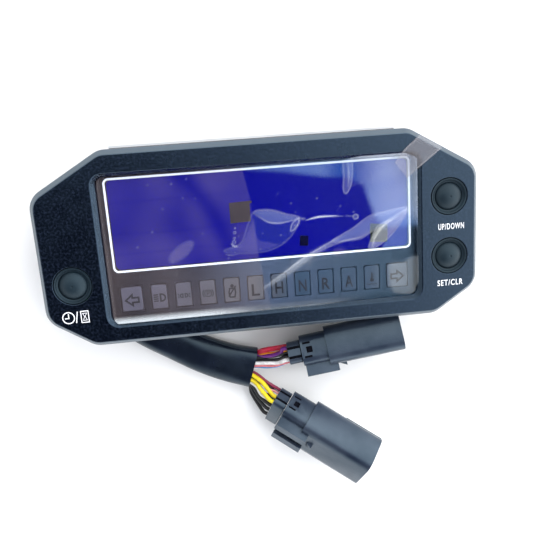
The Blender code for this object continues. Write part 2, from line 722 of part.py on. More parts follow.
def section(size, radius, steps=3):
    """A rounded cross-section, centred, as (y, z) pairs."""
    half_y, half_z = size[0] / 2, size[1] / 2
    return rectangle(-half_y, -half_z, half_y, half_z, radius, steps)


def blade_places():
    for row in BLADE_ROWS:
        for column in range(BLADE_COLUMNS):
            yield row, (column - (BLADE_COLUMNS - 1) / 2) * BLADE_PITCH


def connector(name, place, degrees):
    frame = pivot(f"{name}_frame", place, degrees)
    plastic = finish(f"{name}_plastic", (0.03, 0.035, 0.045), 0.45)
    shroud_start, shroud_end = SHROUD_X

    bm = bmesh.new()
    loops = [
        (section(MID_BODY, 3.6), MID_BODY_X),
        (section(MID_BODY, 3.6), shroud_start),
        (section(SHROUD, SHROUD_RADIUS), shroud_start),
        (section(SHROUD, SHROUD_RADIUS), shroud_end),
    ]
    loft(bm, [[(x, y, z) for y, z in outline] for outline, x in loops])
    housing = node(f"{name}_housing", bm, plastic, parent=frame)
    added = bmesh.new()
    body_side = -MID_BODY[0] / 2 + 1.0
    for sign in (-1, 1):
        edges = sorted((sign * (RAIL_HALF - RAIL_SKIN), sign * RAIL_HALF))
        box(added, (RAIL_X[0], RAIL_OUT + 0.1, edges[0]), (RAIL_X[1], body_side, edges[1]))
        edges = sorted((sign * RAIL_SLOT_HALF, sign * (RAIL_HALF - 0.1)))
        box(added, (RAIL_X[0] + 0.05, RAIL_OUT, edges[0]), (RAIL_X[1] - 0.05, RAIL_OUT + RAIL_SKIN, edges[1]))
    wedge_low, wedge_high = 23.0, 26.0
    side = -SHROUD[0] / 2
    outline = [(wedge_low, side - 0.4), (wedge_high, side - 1.9), (wedge_high, side + 0.5), (wedge_low, side + 0.5)]
    plate(added, outline, -1.3, 1.3)
    rib = SHROUD[0] / 2
    box(added, (34.0, rib - 0.6, 6.6), (shroud_end - 0.1, rib + 0.7, 8.0))
    combine(housing, added, "UNION", "rails")

    cuts = bmesh.new()
    inside = (SHROUD[0] - 2 * SHROUD_WALL, SHROUD[1] - 2 * SHROUD_WALL)
    bar(cuts, section(inside, SHROUD_RADIUS - SHROUD_WALL), SOCKET_FLOOR_X, shroud_end + 2.0)
    bar(cuts, section((SEAL_BODY[0] + 2 * GAP, SEAL_BODY[1] + 2 * GAP), 2.0), MID_BODY_X - 1.0, SEAL_CAVITY_END_X)
    half_wide, half_thick = BLADE_SIZE[0] / 2 + GAP, BLADE_SIZE[1] / 2 + GAP
    for y, z in blade_places():
        box(cuts, (16.0, y - half_thick, z - half_wide), (30.0, y + half_thick, z + half_wide))
    snap = MID_BODY[1] / 2
    box(cuts, (8.8, -1.4, snap - 0.9), (11.6, 1.4, snap + 1.0))
    for side_y in (-3.2, 3.2):
        box(cuts, (7.4, side_y - 0.45, snap - 0.9), (11.0, side_y + 0.45, snap + 1.0))
    combine(housing, cuts, "DIFFERENCE", "cavities")

    bm = bmesh.new()
    bar(bm, section(CAP_BODY, 2.6), 0.0, CAP_LENGTH)
    cap = node(f"{name}_cap", bm, plastic, parent=frame)
    grooves = bmesh.new()
    top = CAP_BODY[1] / 2
    for sign in (-1, 1):
        edges = sorted((sign * (top - 0.8), sign * (top + 1.0)))
        for groove_y in (-2.2, 2.2):
            box(grooves, (-1.0, groove_y - 0.6, edges[0]), (CAP_LENGTH + 1.0, groove_y + 0.6, edges[1]))
    combine(cap, grooves, "DIFFERENCE", "grooves")

    bm = bmesh.new()
    bar(bm, section(SEAL_BODY, 1.8), MID_BODY_X, 16.6)
    node(f"{name}_seal", bm, finish(f"{name}_seal_silicone", (0.75, 0.3, 0.1), 0.6), parent=frame)

    bm = bmesh.new()
    bar(bm, section(SEAL_BODY, 1.8), BLADE_X[0], BLADE_X[0] + 0.8)
    tinned = finish(f"{name}_tinned_brass", (0.8, 0.78, 0.72), 0.3, 1.0)
    comb = node(f"{name}_blades", bm, tinned, parent=frame)
    blades = bmesh.new()
    for y, z in blade_places():
        half_y, half_z = BLADE_SIZE[1] / 2, BLADE_SIZE[0] / 2
        box(blades, (BLADE_X[0] + 0.2, y - half_y, z - half_z), (BLADE_X[1], y + half_y, z + half_z))
    combine(comb, blades, "UNION", "blades")

    bm = bmesh.new()
    lock = (inside[0] - 2 * GAP, inside[1] - 2 * GAP)
    bar(bm, section(lock, SHROUD_RADIUS - SHROUD_WALL - GAP), SOCKET_FLOOR_X + GAP, SOCKET_FLOOR_X + 2.4)
    lock_plate = node(f"{name}_lock", bm, finish(f"{name}_lock_plastic", (0.25, 0.25, 0.27), 0.5), parent=frame)
    slots = bmesh.new()
    reach = (BLADE_COLUMNS - 1) / 2 * BLADE_PITCH + half_wide
    for row in BLADE_ROWS:
        box(slots, (SOCKET_FLOOR_X - 1.0, row - half_thick, -reach), (SOCKET_FLOOR_X + 4.0, row + half_thick, reach))
    combine(lock_plate, slots, "DIFFERENCE", "slots")


clear_scene()
front_bezel()
window_and_film()
display_stack()
circuit_board()
buttons()
back_housing()
harness()
connector("rear_connector", *REAR_CONNECTOR)
connector("front_connector", *FRONT_CONNECTOR)
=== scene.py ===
"""Looks for the instrument cluster: the face, the window with its peel-off film, the buttons, the harness and
every finish. Lengths are in millimetres in the CAD frame, and each mesh is scaled to metres as it is made.
"""

import math
import random

import bmesh
import bpy
import numpy as np
from mathutils import Euler, Matrix, Vector


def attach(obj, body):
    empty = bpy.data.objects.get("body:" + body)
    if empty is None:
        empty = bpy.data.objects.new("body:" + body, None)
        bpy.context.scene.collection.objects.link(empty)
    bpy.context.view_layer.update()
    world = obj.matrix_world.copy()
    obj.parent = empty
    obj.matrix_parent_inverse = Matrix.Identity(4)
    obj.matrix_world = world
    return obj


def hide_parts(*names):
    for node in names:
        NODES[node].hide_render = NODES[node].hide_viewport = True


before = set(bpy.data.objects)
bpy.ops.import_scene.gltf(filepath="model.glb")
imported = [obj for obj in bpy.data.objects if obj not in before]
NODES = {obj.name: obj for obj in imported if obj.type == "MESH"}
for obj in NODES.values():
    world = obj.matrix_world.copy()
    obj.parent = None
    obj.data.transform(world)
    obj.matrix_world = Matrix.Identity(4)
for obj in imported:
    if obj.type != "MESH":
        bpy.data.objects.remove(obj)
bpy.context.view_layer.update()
MM = 0.001


# ---------------------------------------------------------------- sizes shared with the CAD model

FACE_Z = 38.0
HALF_LENGTH = 90.0
HALF_WIDTH = 38.16
SIDE_TOP_Y = 21.9
SIDE_BOTTOM_Y = -26.9
TOP_EDGE_X = 62.1
BOTTOM_EDGE_X = 72.8
OUTLINE = [
    (-HALF_LENGTH, SIDE_BOTTOM_Y),
    (-BOTTOM_EDGE_X, -HALF_WIDTH),
    (BOTTOM_EDGE_X, -HALF_WIDTH),
    (HALF_LENGTH, SIDE_BOTTOM_Y),
    (HALF_LENGTH, SIDE_TOP_Y),
    (TOP_EDGE_X, HALF_WIDTH),
    (-TOP_EDGE_X, HALF_WIDTH),
    (-HALF_LENGTH, SIDE_TOP_Y),
]
OUTLINE_RADIUS = 7.0
FACE_CHAMFER = 2.0
CHAMFER_DEPTH = 2.7
BEZEL_WALL = 2.2
BEZEL_BOTTOM_Z = 25.3
BEZEL_UNDERSIDE_Z = 35.9
WINDOW_FACE = (-67.05, -32.3, 67.05, 31.05)
WINDOW_LENS = (-65.2, -30.6, 65.2, 29.7)
WINDOW_RADIUS = 5.0
LIP_HALF_LENGTH = 60.0
LIP_Y = (40.35, 41.2)
LIP_Z = (24.6, 25.2)
FILM_Z = 35.95
MASK_TOP_Z = 33.3
LCD_TOP_Z = 32.2
TILE_Y = (-27.1, -16.8)
TILE_MIDDLE_X = 0.5
TILE_PITCH = 10.15
ARROW_TILES_X = ((-60.9, -52.3), (52.9, 61.8))
BUTTONS = {"left": (-79.0, -13.1), "upper_right": (79.0, 11.0), "lower_right": (79.0, -14.4)}
BOOT_RADIUS = 7.5
BOOT_LOW_Z = 35.0
CAP_RADIUS = 5.8
CAP_LOW_Z = 33.5
CAP_TOP_Z = 39.5
SLEEVE_ROUTE = [
    (-65.0, -22.3, 6.8),
    (-65.0, -28.0, 6.7),
    (-63.8, -34.0, 6.6),
    (-60.0, -40.0, 6.6),
    (-52.0, -46.2, 6.6),
    (-42.0, -52.4, 6.6),
    (-30.0, -59.4, 6.6),
    (-18.5, -64.8, 6.6),
    (-7.3, -68.6, 6.6),
]
# Where each connector's wire cap starts, and its turns about X, Y and Z in degrees.
REAR_FRAME = ((10.6, -61.6, 11.0), (-20.8, -7.0, 9.4))
FRONT_FRAME = ((1.4, -87.8, 8.65), (-48.5, -19.5, -32.4))
SNAP_FACE = 10.9
CAP_FACE = 10.0


# ---------------------------------------------------------------- outlines and meshes


def grow(corners, distance):
    """The convex outline with each side moved outwards by distance."""
    moved = []
    for i, corner in enumerate(corners):
        before = Vector(corner) - Vector(corners[i - 1])
        after = Vector(corners[(i + 1) % len(corners)]) - Vector(corner)
        out_before = Vector((before.y, -before.x)).normalized()
        out_after = Vector((after.y, -after.x)).normalized()
        bisector = (out_before + out_after).normalized()
        moved.append(Vector(corner) + bisector * (distance / bisector.dot(out_before)))
    return moved


def rounded(corners, radius, steps=8):
    """The outline, listed anticlockwise, with an arc of the given radius in each corner."""
    points = []
    for i, place in enumerate(corners):
        corner = Vector(place)
        to_before = (Vector(corners[i - 1]) - corner).normalized()
        to_after = (Vector(corners[(i + 1) % len(corners)]) - corner).normalized()
        half = to_before.angle(to_after) / 2
        centre = corner + (to_before + to_after).normalized() * (radius / math.sin(half))
        start = corner + to_before * (radius / math.tan(half)) - centre
        turn = math.pi - 2 * half
        for k in range(steps + 1):
            points.append(tuple(centre + Matrix.Rotation(turn * k / steps, 2) @ start))
    return points


def unit_outline(distance):
    return rounded(grow(OUTLINE, distance), OUTLINE_RADIUS + distance, 10)


def rectangle(low_x, low_y, high_x, high_y, radius=0.0):
    corners = [(low_x, low_y), (high_x, low_y), (high_x, high_y), (low_x, high_y)]
    return rounded(corners, radius) if radius else corners


def circle(x, y, radius, sides=64):
    turns = [2 * math.pi * k / sides for k in range(sides)]
    return [(x + radius * math.cos(t), y + radius * math.sin(t)) for t in turns]


def catmull(points, per_span, closed=False):
    """Points along a smooth curve through the given ones."""
    knots = [Vector(p) for p in points]
    if closed:
        knots = [knots[-1], *knots, knots[0], knots[1]]
    else:
        knots = [2 * knots[0] - knots[1], *knots, 2 * knots[-1] - knots[-2]]
    fine = []
    for a, b, c, d in zip(knots, knots[1:], knots[2:], knots[3:]):
        for k in range(per_span):
            t = k / per_span
            curve = 2 * b + (c - a) * t + (2 * a - 5 * b + 4 * c - d) * t**2 + (3 * b - a - 3 * c + d) * t**3
            fine.append(0.5 * curve)
    return fine if closed else [*fine, knots[-2]]


def loft(bm, loops, closed=False):
    """Adds one closed body through loops of equal length."""
    rings = [[bm.verts.new(point) for point in loop] for loop in loops]
    pairs = list(zip(rings, rings[1:]))
    if closed:
        pairs.append((rings[-1], rings[0]))
    for lower, upper in pairs:
        for k in range(len(lower)):
            j = (k + 1) % len(lower)
            bm.faces.new((lower[k], lower[j], upper[j], upper[k]))
    if not closed:
        bm.faces.new(rings[0])
        bm.faces.new(rings[-1])


def stack(bm, layers):
    loft(bm, [[(x, y, z) for x, y in outline] for outline, z in layers])


def plate(bm, outline, low_z, high_z):
    stack(bm, [(outline, low_z), (outline, high_z)])


def turned(bm, profile, x, y, ring=False):
    """A body turned about a vertical axis through (x, y), from (radius, height) pairs."""
    loft(bm, [[(px, py, z) for px, py in circle(x, y, radius)] for radius, z in profile], closed=ring)


def linked(name, data):
    """A new object in the scene."""
    obj = bpy.data.objects.new(name, data)
    bpy.context.scene.collection.objects.link(obj)
    return obj


def solid(name, bm):
    """A new object in metres from a bmesh in millimetres, with its faces pointing out."""
    bmesh.ops.recalc_face_normals(bm, faces=bm.faces)
    bmesh.ops.scale(bm, verts=bm.verts, vec=(MM, MM, MM))
    mesh = bpy.data.meshes.new(name)
    bm.to_mesh(mesh)
    bm.free()
    return linked(name, mesh)


def made(name, bm, finish, body="root", replaces=(), sharp=35):
    """Turns a bmesh into a piece that rides on a body."""
    obj = solid(name, bm)
    obj.data.materials.append(finish.mat)
    obj.data.shade_smooth()
    obj.data.set_sharp_from_angle(angle=math.radians(sharp))
    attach(obj, body)
    if replaces:
        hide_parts(*replaces)
    return obj


def evaluated_mesh(obj):
    """The object's mesh with its modifiers applied."""
    return bpy.data.meshes.new_from_object(obj.evaluated_get(bpy.context.evaluated_depsgraph_get()))


def cut(obj, bm):
    """Cuts the bodies in bm out of the object, and leaves no helper behind."""
    helper = solid("helper", bm)
    modifier = obj.modifiers.new("cut", "BOOLEAN")
    modifier.operation = "DIFFERENCE"
    modifier.object = helper
    modifier.use_self = True
    mesh = evaluated_mesh(obj)
    obj.modifiers.clear()
    obj.data = mesh
    bpy.data.objects.remove(helper, do_unlink=True)


def bevelled(obj, width, segments, degrees):
    modifier = obj.modifiers.new("edges", "BEVEL")
    modifier.width = width * MM
    modifier.segments = segments
    modifier.limit_method = "ANGLE"
    modifier.angle_limit = math.radians(degrees)
    modifier.harden_normals = True


# ---------------------------------------------------------------- materials

NEUTRAL = (1.0, 1.0, 1.0)
SLATE = (0.62, 0.85, 1.0)


def put(node, **values):
    """Sets a node's inputs; an underscore in a name stands for a space, and a colour takes three numbers."""
    for name, value in values.items():
        socket = node.inputs[name.replace("_", " ")]
        socket.default_value = (*value, 1.0) if socket.type == "RGBA" else value


class Nodes:
    """A shader node tree, with short ways to add and link its nodes."""

    def __init__(self, tree, coordinates):
        self.tree = tree
        self.link = tree.links.new
        self.place = self.add("ShaderNodeTexCoord").outputs[coordinates]

    def add(self, kind, **values):
        node = self.tree.nodes.new(kind)
        put(node, **values)
        return node

    def ramp(self, fac, stops):
        node = self.add("ShaderNodeValToRGB")
        elements = node.color_ramp.elements
        while len(elements) < len(stops):
            elements.new(0.5)
        for element, (place, colour) in zip(elements, stops):
            element.position = place
            element.color = (*colour, 1.0)
        self.link(fac, node.inputs["Fac"])
        return node.outputs["Color"]

    def mapped(self, value, **ends):
        """The value brought from one range to another."""
        node = self.add("ShaderNodeMapRange", **ends)
        self.link(value, node.inputs["Value"])
        return node.outputs["Result"]

    def along(self, axis):
        """The coordinate along one axis."""
        parts = self.add("ShaderNodeSeparateXYZ")
        self.link(self.place, parts.inputs["Vector"])
        return parts.outputs[axis]


class Finish(Nodes):
    """A Principled material whose colour, roughness and bump come from object-space nodes."""

    def __init__(self, name, colour, roughness, metallic=0.0, specular=0.5, coat=0.0, tint=NEUTRAL):
        self.mat = bpy.data.materials.new(name)
        self.mat.use_nodes = True
        super().__init__(self.mat.node_tree, "Object")
        self.shader = self.tree.nodes["Principled BSDF"]
        put(self.shader, Base_Color=colour, Roughness=roughness, Metallic=metallic, Coat_Roughness=0.12)
        put(self.shader, Specular_IOR_Level=specular, Specular_Tint=tint, Coat_Weight=coat)
        self.normal = None

    def colour_from(self, output):
        self.link(output, self.shader.inputs["Base Color"])
        return self

    def noise(self, scale, detail=3.0, stretch=None):
        """Noise whose scale is in features per metre."""
        node = self.add("ShaderNodeTexNoise", Scale=scale, Detail=detail, Roughness=0.55)
        source = self.place
        if stretch:
            mapping = self.add("ShaderNodeMapping", Scale=stretch)
            self.link(self.place, mapping.inputs["Vector"])
            source = mapping.outputs["Vector"]
        self.link(source, node.inputs["Vector"])
        return node.outputs["Fac"]

    def mottle(self, scale, dark, light, low=0.35, high=0.65):
        """Base colour that drifts between two colours."""
        return self.colour_from(self.ramp(self.noise(scale), [(low, dark), (high, light)]))

    def banded(self, low, high, stops):
        """Base colour that changes along X, from low to high in millimetres."""
        share = self.mapped(self.along("X"), From_Min=low * MM, From_Max=high * MM)
        return self.colour_from(self.ramp(share, [((x - low) / (high - low), colour) for x, colour in stops]))

    def worn(self, scale, low, high):
        """Roughness that drifts between two values."""
        level = self.mapped(self.noise(scale), From_Min=0.3, From_Max=0.7, To_Min=low, To_Max=high)
        self.link(level, self.shader.inputs["Roughness"])
        return self

    def bump(self, height, distance, strength):
        """Adds one layer of bump, distance in millimetres."""
        node = self.add("ShaderNodeBump", Strength=strength, Distance=distance * MM)
        self.link(height, node.inputs["Height"])
        if self.normal:
            self.link(self.normal, node.inputs["Normal"])
        self.normal = node.outputs["Normal"]
        self.link(self.normal, self.shader.inputs["Normal"])
        return self

    def grain(self, scale, distance, strength, stretch=None):
        return self.bump(self.noise(scale, 2.0, stretch), distance, strength)


def moulded(name, dark, light, low=0.42, high=0.55, scale=2600.0, depth=0.05, specular=0.5, tint=NEUTRAL):
    """Spark-eroded moulded plastic."""
    finish = Finish(name, light, high, specular=specular, tint=tint).mottle(60.0, dark, light)
    finish.worn(140.0, low, high).grain(scale, depth, 0.6)
    return finish.grain(scale * 0.35, depth * 1.2, 0.35)


def rubbery(name, dark, light, low=0.5, high=0.65):
    finish = Finish(name, light, high, tint=SLATE).mottle(90.0, dark, light)
    return finish.worn(200.0, low, high).grain(3200.0, 0.03, 0.5)


def metal(name, dark, light):
    finish = Finish(name, light, 0.42, metallic=1.0).mottle(500.0, dark, light)
    return finish.worn(700.0, 0.25, 0.42).grain(4000.0, 0.01, 0.4)


def white_print(name):
    finish = Finish(name, (0.8, 0.82, 0.85), 0.5)
    return finish.mottle(1200.0, (0.72, 0.74, 0.78), (0.86, 0.87, 0.9), 0.2, 0.5)


def board_finish():
    """Green solder resist with copper tracks under it and tinned pads."""
    finish = Finish("board_laminate", (0.01, 0.09, 0.03), 0.35, coat=0.3)
    tracks = finish.add("ShaderNodeTexBrick", Color1=(0.008, 0.075, 0.025), Color2=(0.012, 0.11, 0.035))
    put(tracks, Mortar=(0.03, 0.2, 0.06), Scale=90.0, Mortar_Size=0.03)
    finish.link(finish.place, tracks.inputs["Vector"])
    finish.colour_from(tracks.outputs["Color"])
    return finish.bump(tracks.outputs["Fac"], 0.03, 0.5).worn(300.0, 0.3, 0.45)


def lcd_finish():
    """Deep blue panel with faint vertical electrode lines, and a slight painted glow though it gives no
    light.
    """
    finish = Finish("lcd_glass", (0.0, 0.0, 0.1), 0.2, specular=0.1)
    # Painted glow: emission on a panel that is no lamp.
    put(finish.shader, Emission_Color=(0.01, 0.012, 1.0), Emission_Strength=0.18)
    finish.mottle(18.0, (0.0, 0.0, 0.09), (0.0, 0.0, 0.12)).worn(50.0, 0.18, 0.26)
    return finish.grain(900.0, 0.004, 0.3, stretch=(1.0, 0.02, 1.0))


def lens_finish():
    """Clear acrylic: mirror reflections by Fresnel, and a slight smoke in what shows through."""
    finish = Finish("clear_lens", (0.02, 0.025, 0.03), 0.04).worn(30.0, 0.03, 0.07)
    clear = finish.add("ShaderNodeBsdfTransparent", Color=(0.93, 0.95, 0.97))
    gloss = finish.add("ShaderNodeBsdfAnisotropic", Color=NEUTRAL, Roughness=0.05)
    fresnel = finish.add("ShaderNodeFresnel", IOR=1.08)
    mix = finish.add("ShaderNodeMixShader")
    finish.link(fresnel.outputs["Fac"], mix.inputs["Fac"])
    finish.link(clear.outputs["BSDF"], mix.inputs[1])
    finish.link(gloss.outputs["BSDF"], mix.inputs[2])
    finish.link(mix.outputs["Shader"], finish.tree.nodes["Material Output"].inputs["Surface"])
    return finish


def film_finish():
    """Clear film, whose colour and cover are read from the mesh's own colour layer, which holds haze and
    painted reflections and highlights.
    """
    finish = Finish("clear_film", (0.8, 0.8, 0.9), 0.12, specular=0.8)
    look = finish.add("ShaderNodeVertexColor")
    look.layer_name = "film_look"
    finish.colour_from(look.outputs["Color"])
    finish.link(look.outputs["Alpha"], finish.shader.inputs["Alpha"])
    return finish.worn(260.0, 0.08, 0.22).grain(700.0, 0.03, 0.5)


BEZEL_FACE = (0.0014, 0.0022, 0.009)
# Painted highlight: the chamfer round the face takes a lighter copy of the bezel plastic, standing in for the
# light it catches.
BEZEL_CHAMFER_HIGHLIGHT = (0.035, 0.046, 0.062)
BEZEL = moulded("bezel_plastic", BEZEL_FACE, BEZEL_FACE, 0.22, 0.28, 1100.0, 0.05, 0.85, (0.45, 0.7, 1.0))
BEZEL.mottle(1000.0, (0.0, 0.0003, 0.002), (0.009, 0.013, 0.026), 0.46, 0.72)
BEZEL_CHAMFER_PAINTED_HIGHLIGHT = moulded("bezel_chamfer_painted_highlight", BEZEL_CHAMFER_HIGHLIGHT, BEZEL_CHAMFER_HIGHLIGHT, 0.3, 0.4, 1300.0, 0.06, 1.0, SLATE)
HOUSING = moulded("housing_plastic", (0.012, 0.012, 0.014), (0.022, 0.022, 0.025), 0.5, 0.62, 1800.0, 0.06)
SHELL_DARK = (0.009, 0.014, 0.03)
SHELL_LIGHT = (0.034, 0.043, 0.066)
CONNECTOR = moulded("connector_plastic", SHELL_DARK, SHELL_LIGHT, 0.28, 0.38, 1250.0, 0.08, 1.0, SLATE)
LOCK = moulded("lock_plastic", (0.12, 0.12, 0.13), (0.2, 0.2, 0.21))
SWITCH = moulded("switch_plastic", (0.03, 0.03, 0.03), (0.05, 0.05, 0.05))
PLUNGER = moulded("plunger_plastic", (0.3, 0.03, 0.02), (0.42, 0.05, 0.03))
CHIP = moulded("chip_resin", (0.008, 0.008, 0.008), (0.018, 0.018, 0.018), scale=3500.0, depth=0.02)
HEADER = moulded("header_nylon", (0.66, 0.63, 0.5), (0.8, 0.77, 0.66), depth=0.02)
LIGHT_BOX = moulded("light_box_plastic", (0.7, 0.7, 0.68), (0.82, 0.82, 0.8), depth=0.02)
BACKLIGHT = moulded("backlight_acrylic", (0.75, 0.78, 0.82), (0.86, 0.88, 0.9), 0.2, 0.3, depth=0.01)
BREATHER = moulded("breather_plastic", (0.1, 0.1, 0.11), (0.17, 0.17, 0.18))
MASK = moulded("mask_print", (0.02, 0.022, 0.028), (0.03, 0.033, 0.042), 0.45, 0.6, 3000.0, 0.02, 0.3)
# Painted shade and reflection: along X the mask is darkest at the left, lightest and bluest in the middle and
# a little darker at the right, following the light across the window.
MASK_PAINTED_LIGHT_BANDS = [(-62, (0.012, 0.01, 0.018)), (-30, (0.038, 0.036, 0.054))]
MASK_PAINTED_LIGHT_BANDS += [(2, (0.08, 0.11, 0.18)), (50, (0.045, 0.08, 0.12))]
MASK.banded(-67.0, 67.0, MASK_PAINTED_LIGHT_BANDS)
BUTTON = rubbery("button_rubber", (0.003, 0.007, 0.012), (0.006, 0.013, 0.02), 0.42, 0.52)
GASKET = rubbery("gasket_rubber", (0.01, 0.01, 0.01), (0.025, 0.025, 0.025), 0.7, 0.85)
# Painted shadow: a near-black finish for plates that stand in for the shade in the connectors' slots.
RECESS_PAINTED_SHADOW = Finish("recess_shadow", (0.002, 0.003, 0.006), 0.8, specular=0.1)
RECESS_PAINTED_SHADOW.mottle(300.0, (0.001, 0.001, 0.003), (0.004, 0.005, 0.01))
# Painted highlight: a pale finish for strips on the dark lips of the back housing.
LIP_PAINTED_HIGHLIGHT = moulded("lip_painted_highlight", (0.55, 0.57, 0.6), (0.66, 0.68, 0.7))
GROMMET = rubbery("grommet_rubber", (0.012, 0.012, 0.014), (0.025, 0.025, 0.028))
CONTACT = rubbery("contact_rubber", (0.5, 0.2, 0.22), (0.62, 0.3, 0.32))
SEAL = rubbery("seal_silicone", (0.015, 0.017, 0.022), (0.025, 0.028, 0.035), 0.35, 0.5)
ZINC = metal("zinc_steel", (0.5, 0.5, 0.46), (0.68, 0.68, 0.64))
BLACK_ZINC = metal("black_zinc_steel", (0.05, 0.05, 0.055), (0.1, 0.1, 0.11))
BRASS = metal("insert_brass", (0.55, 0.36, 0.12), (0.72, 0.5, 0.2))
TINNED = metal("tinned_brass", (0.6, 0.57, 0.5), (0.75, 0.72, 0.66))
CAN = metal("capacitor_can", (0.6, 0.6, 0.62), (0.75, 0.75, 0.77))
BOARD = board_finish()
LCD = lcd_finish()
LENS = lens_finish()
FILM = film_finish()
TILE = Finish("tile_diffuser", (0.1, 0.11, 0.13), 0.4, specular=0.3)
# Painted reflection: along X the tiles are greyer at the left, bluer to the right and pale over the right
# arrow tile, following the light across the window.
TILE_PAINTED_REFLECTION_BANDS = [(-50, (0.12, 0.11, 0.15)), (-5, (0.13, 0.125, 0.14)), (14, (0.045, 0.08, 0.135))]
TILE_PAINTED_REFLECTION_BANDS += [(45, (0.06, 0.092, 0.14)), (54, (0.13, 0.16, 0.2))]
TILE.banded(-62.0, 62.0, TILE_PAINTED_REFLECTION_BANDS).worn(300.0, 0.3, 0.5).grain(1500.0, 0.03, 0.5)
INK = Finish("symbol_ink", (0.01, 0.01, 0.015), 0.5).mottle(900.0, (0.006, 0.006, 0.01), (0.02, 0.02, 0.03))
WHITE_INK = white_print("white_print").grain(3000.0, 0.01, 0.4)
FRAME_INK_PAINTED_GLOW = white_print("frame_print")
# Painted glow: the white print is given emission, though it is no lamp.
put(FRAME_INK_PAINTED_GLOW.shader, Emission_Color=(0.9, 0.93, 1.0), Emission_Strength=0.5)

# The finish of each CAD node that stays, by its name or by the part of its name that numbers and sides leave.
NODE_FINISHES = {
    "window_lens": LENS,
    "mask_plate": MASK,
    "lcd_panel": LCD,
    "lcd_backlight": BACKLIGHT,
    "lcd_contact_strip": CONTACT,
    "indicator_light_box": LIGHT_BOX,
    "indicator_tile_strip": TILE,
    "circuit_board": BOARD,
    "microcontroller": CHIP,
    "voltage_regulator": CHIP,
    "power_capacitor": CAN,
    "harness_header": HEADER,
    "back_housing": HOUSING,
    "breather_plug": BREATHER,
    "case_gasket": GASKET,
    "cable_grommet": GROMMET,
    "board_screw": ZINC,
    "threaded_insert": BRASS,
    "case_screw": BLACK_ZINC,
    "switch": SWITCH,
    "plunger": PLUNGER,
    "connector_housing": CONNECTOR,
    "connector_cap": CONNECTOR,
    "connector_seal": SEAL,
    "connector_blades": TINNED,
    "connector_lock": LOCK,
}


def smoothing_group():
    """Geometry nodes that join a node's split points and shade it smooth between sharp edges."""
    group = bpy.data.node_groups.new("smooth_by_angle", "GeometryNodeTree")
    for in_out in ("INPUT", "OUTPUT"):
        group.interface.new_socket("Geometry", in_out=in_out, socket_type="NodeSocketGeometry")
    add, link = group.nodes.new, group.links.new
    start = add("NodeGroupInput")
    merge = add("GeometryNodeMergeByDistance")
    put(merge, Distance=0.000001)
    soft = add("GeometryNodeSetShadeSmooth")
    soft.domain = "FACE"
    angle = add("GeometryNodeInputMeshEdgeAngle")
    compare = add("FunctionNodeCompare")
    compare.data_type = "FLOAT"
    compare.operation = "GREATER_THAN"
    compare.inputs[1].default_value = math.radians(35)
    edges = add("GeometryNodeSetShadeSmooth")
    edges.domain = "EDGE"
    put(edges, Shade_Smooth=False)
    end = add("NodeGroupOutput")
    link(start.outputs[0], merge.inputs["Geometry"])
    link(merge.outputs["Geometry"], soft.inputs["Geometry"])
    link(soft.outputs["Geometry"], edges.inputs["Geometry"])
    link(angle.outputs["Unsigned Angle"], compare.inputs[0])
    link(compare.outputs["Result"], edges.inputs["Selection"])
    link(edges.outputs["Geometry"], end.inputs[0])
    return group


def dress_nodes():
    """Gives each CAD node its finish, smooth shading and soft edges."""
    group = smoothing_group()
    for name, obj in NODES.items():
        words = name.split("_")
        keys = [name, words[0], "_".join(words[:2]), "_".join(words[1:])]
        finishes = [NODE_FINISHES[key] for key in keys if key in NODE_FINISHES]
        if not finishes:
            continue
        obj.data.materials.clear()
        obj.data.materials.append(finishes[0].mat)
        obj.modifiers.new("smooth", "NODES").node_group = group
        if name not in ("window_lens", "lcd_panel", "circuit_board"):
            bevelled(obj, 0.22, 2, 40)


# ---------------------------------------------------------------- face and buttons


def bezel():
    inner, outer = unit_outline(FACE_CHAMFER - BEZEL_WALL), unit_outline(FACE_CHAMFER)
    bm = bmesh.new()
    layers = [
        (inner, BEZEL_UNDERSIDE_Z),
        (inner, BEZEL_BOTTOM_Z),
        (outer, BEZEL_BOTTOM_Z),
        (outer, FACE_Z - CHAMFER_DEPTH),
        (unit_outline(0.0), FACE_Z),
    ]
    stack(bm, layers)
    obj = made("bezel_shell", bm, BEZEL, replaces=["front_bezel"])
    cuts = bmesh.new()
    above = 0.4
    margin = (WINDOW_FACE[2] - WINDOW_LENS[2]) / (FACE_Z - BEZEL_UNDERSIDE_Z) * above
    low_x, low_y, high_x, high_y = WINDOW_FACE
    wide = (low_x - margin, low_y - margin, high_x + margin, high_y + margin)
    layers = [
        (rectangle(*WINDOW_LENS, WINDOW_RADIUS - 2.0), BEZEL_UNDERSIDE_Z - above),
        (rectangle(*WINDOW_LENS, WINDOW_RADIUS - 2.0), BEZEL_UNDERSIDE_Z),
        (rectangle(*WINDOW_FACE, WINDOW_RADIUS), FACE_Z),
        (rectangle(*wide, WINDOW_RADIUS), FACE_Z + above),
    ]
    stack(cuts, layers)
    for x, y in BUTTONS.values():
        radius = BOOT_RADIUS + 0.3
        turned(cuts, [(radius, BEZEL_UNDERSIDE_Z - above), (radius, FACE_Z + above)], x, y)
    cut(obj, cuts)
    # Painted highlight: the sloped chamfer faces outside the window take the lighter copy of the bezel
    # plastic.
    obj.data.materials.append(BEZEL_CHAMFER_PAINTED_HIGHLIGHT.mat)
    for face in obj.data.polygons:
        x, y, _ = face.center / MM
        outside = not (low_x - 1 < x < high_x + 1 and low_y - 1 < y < high_y + 1)
        if outside and 0.3 < face.normal.z < 0.9:
            face.material_index = 1
    bevelled(obj, 0.4, 3, 30)


def lip_highlight_strips():
    """Painted highlight: pale strips on the two lips of the back housing that show past the face, standing in
    for the light those dark lips reflect.
    """
    for name, side in (("top", 1), ("bottom", -1)):
        low_y, high_y = sorted(side * y for y in LIP_Y)
        bm = bmesh.new()
        plate(bm, rectangle(-LIP_HALF_LENGTH, low_y, LIP_HALF_LENGTH, high_y), *LIP_Z)
        made(f"lip_highlight_strips_{name}", bm, LIP_PAINTED_HIGHLIGHT)


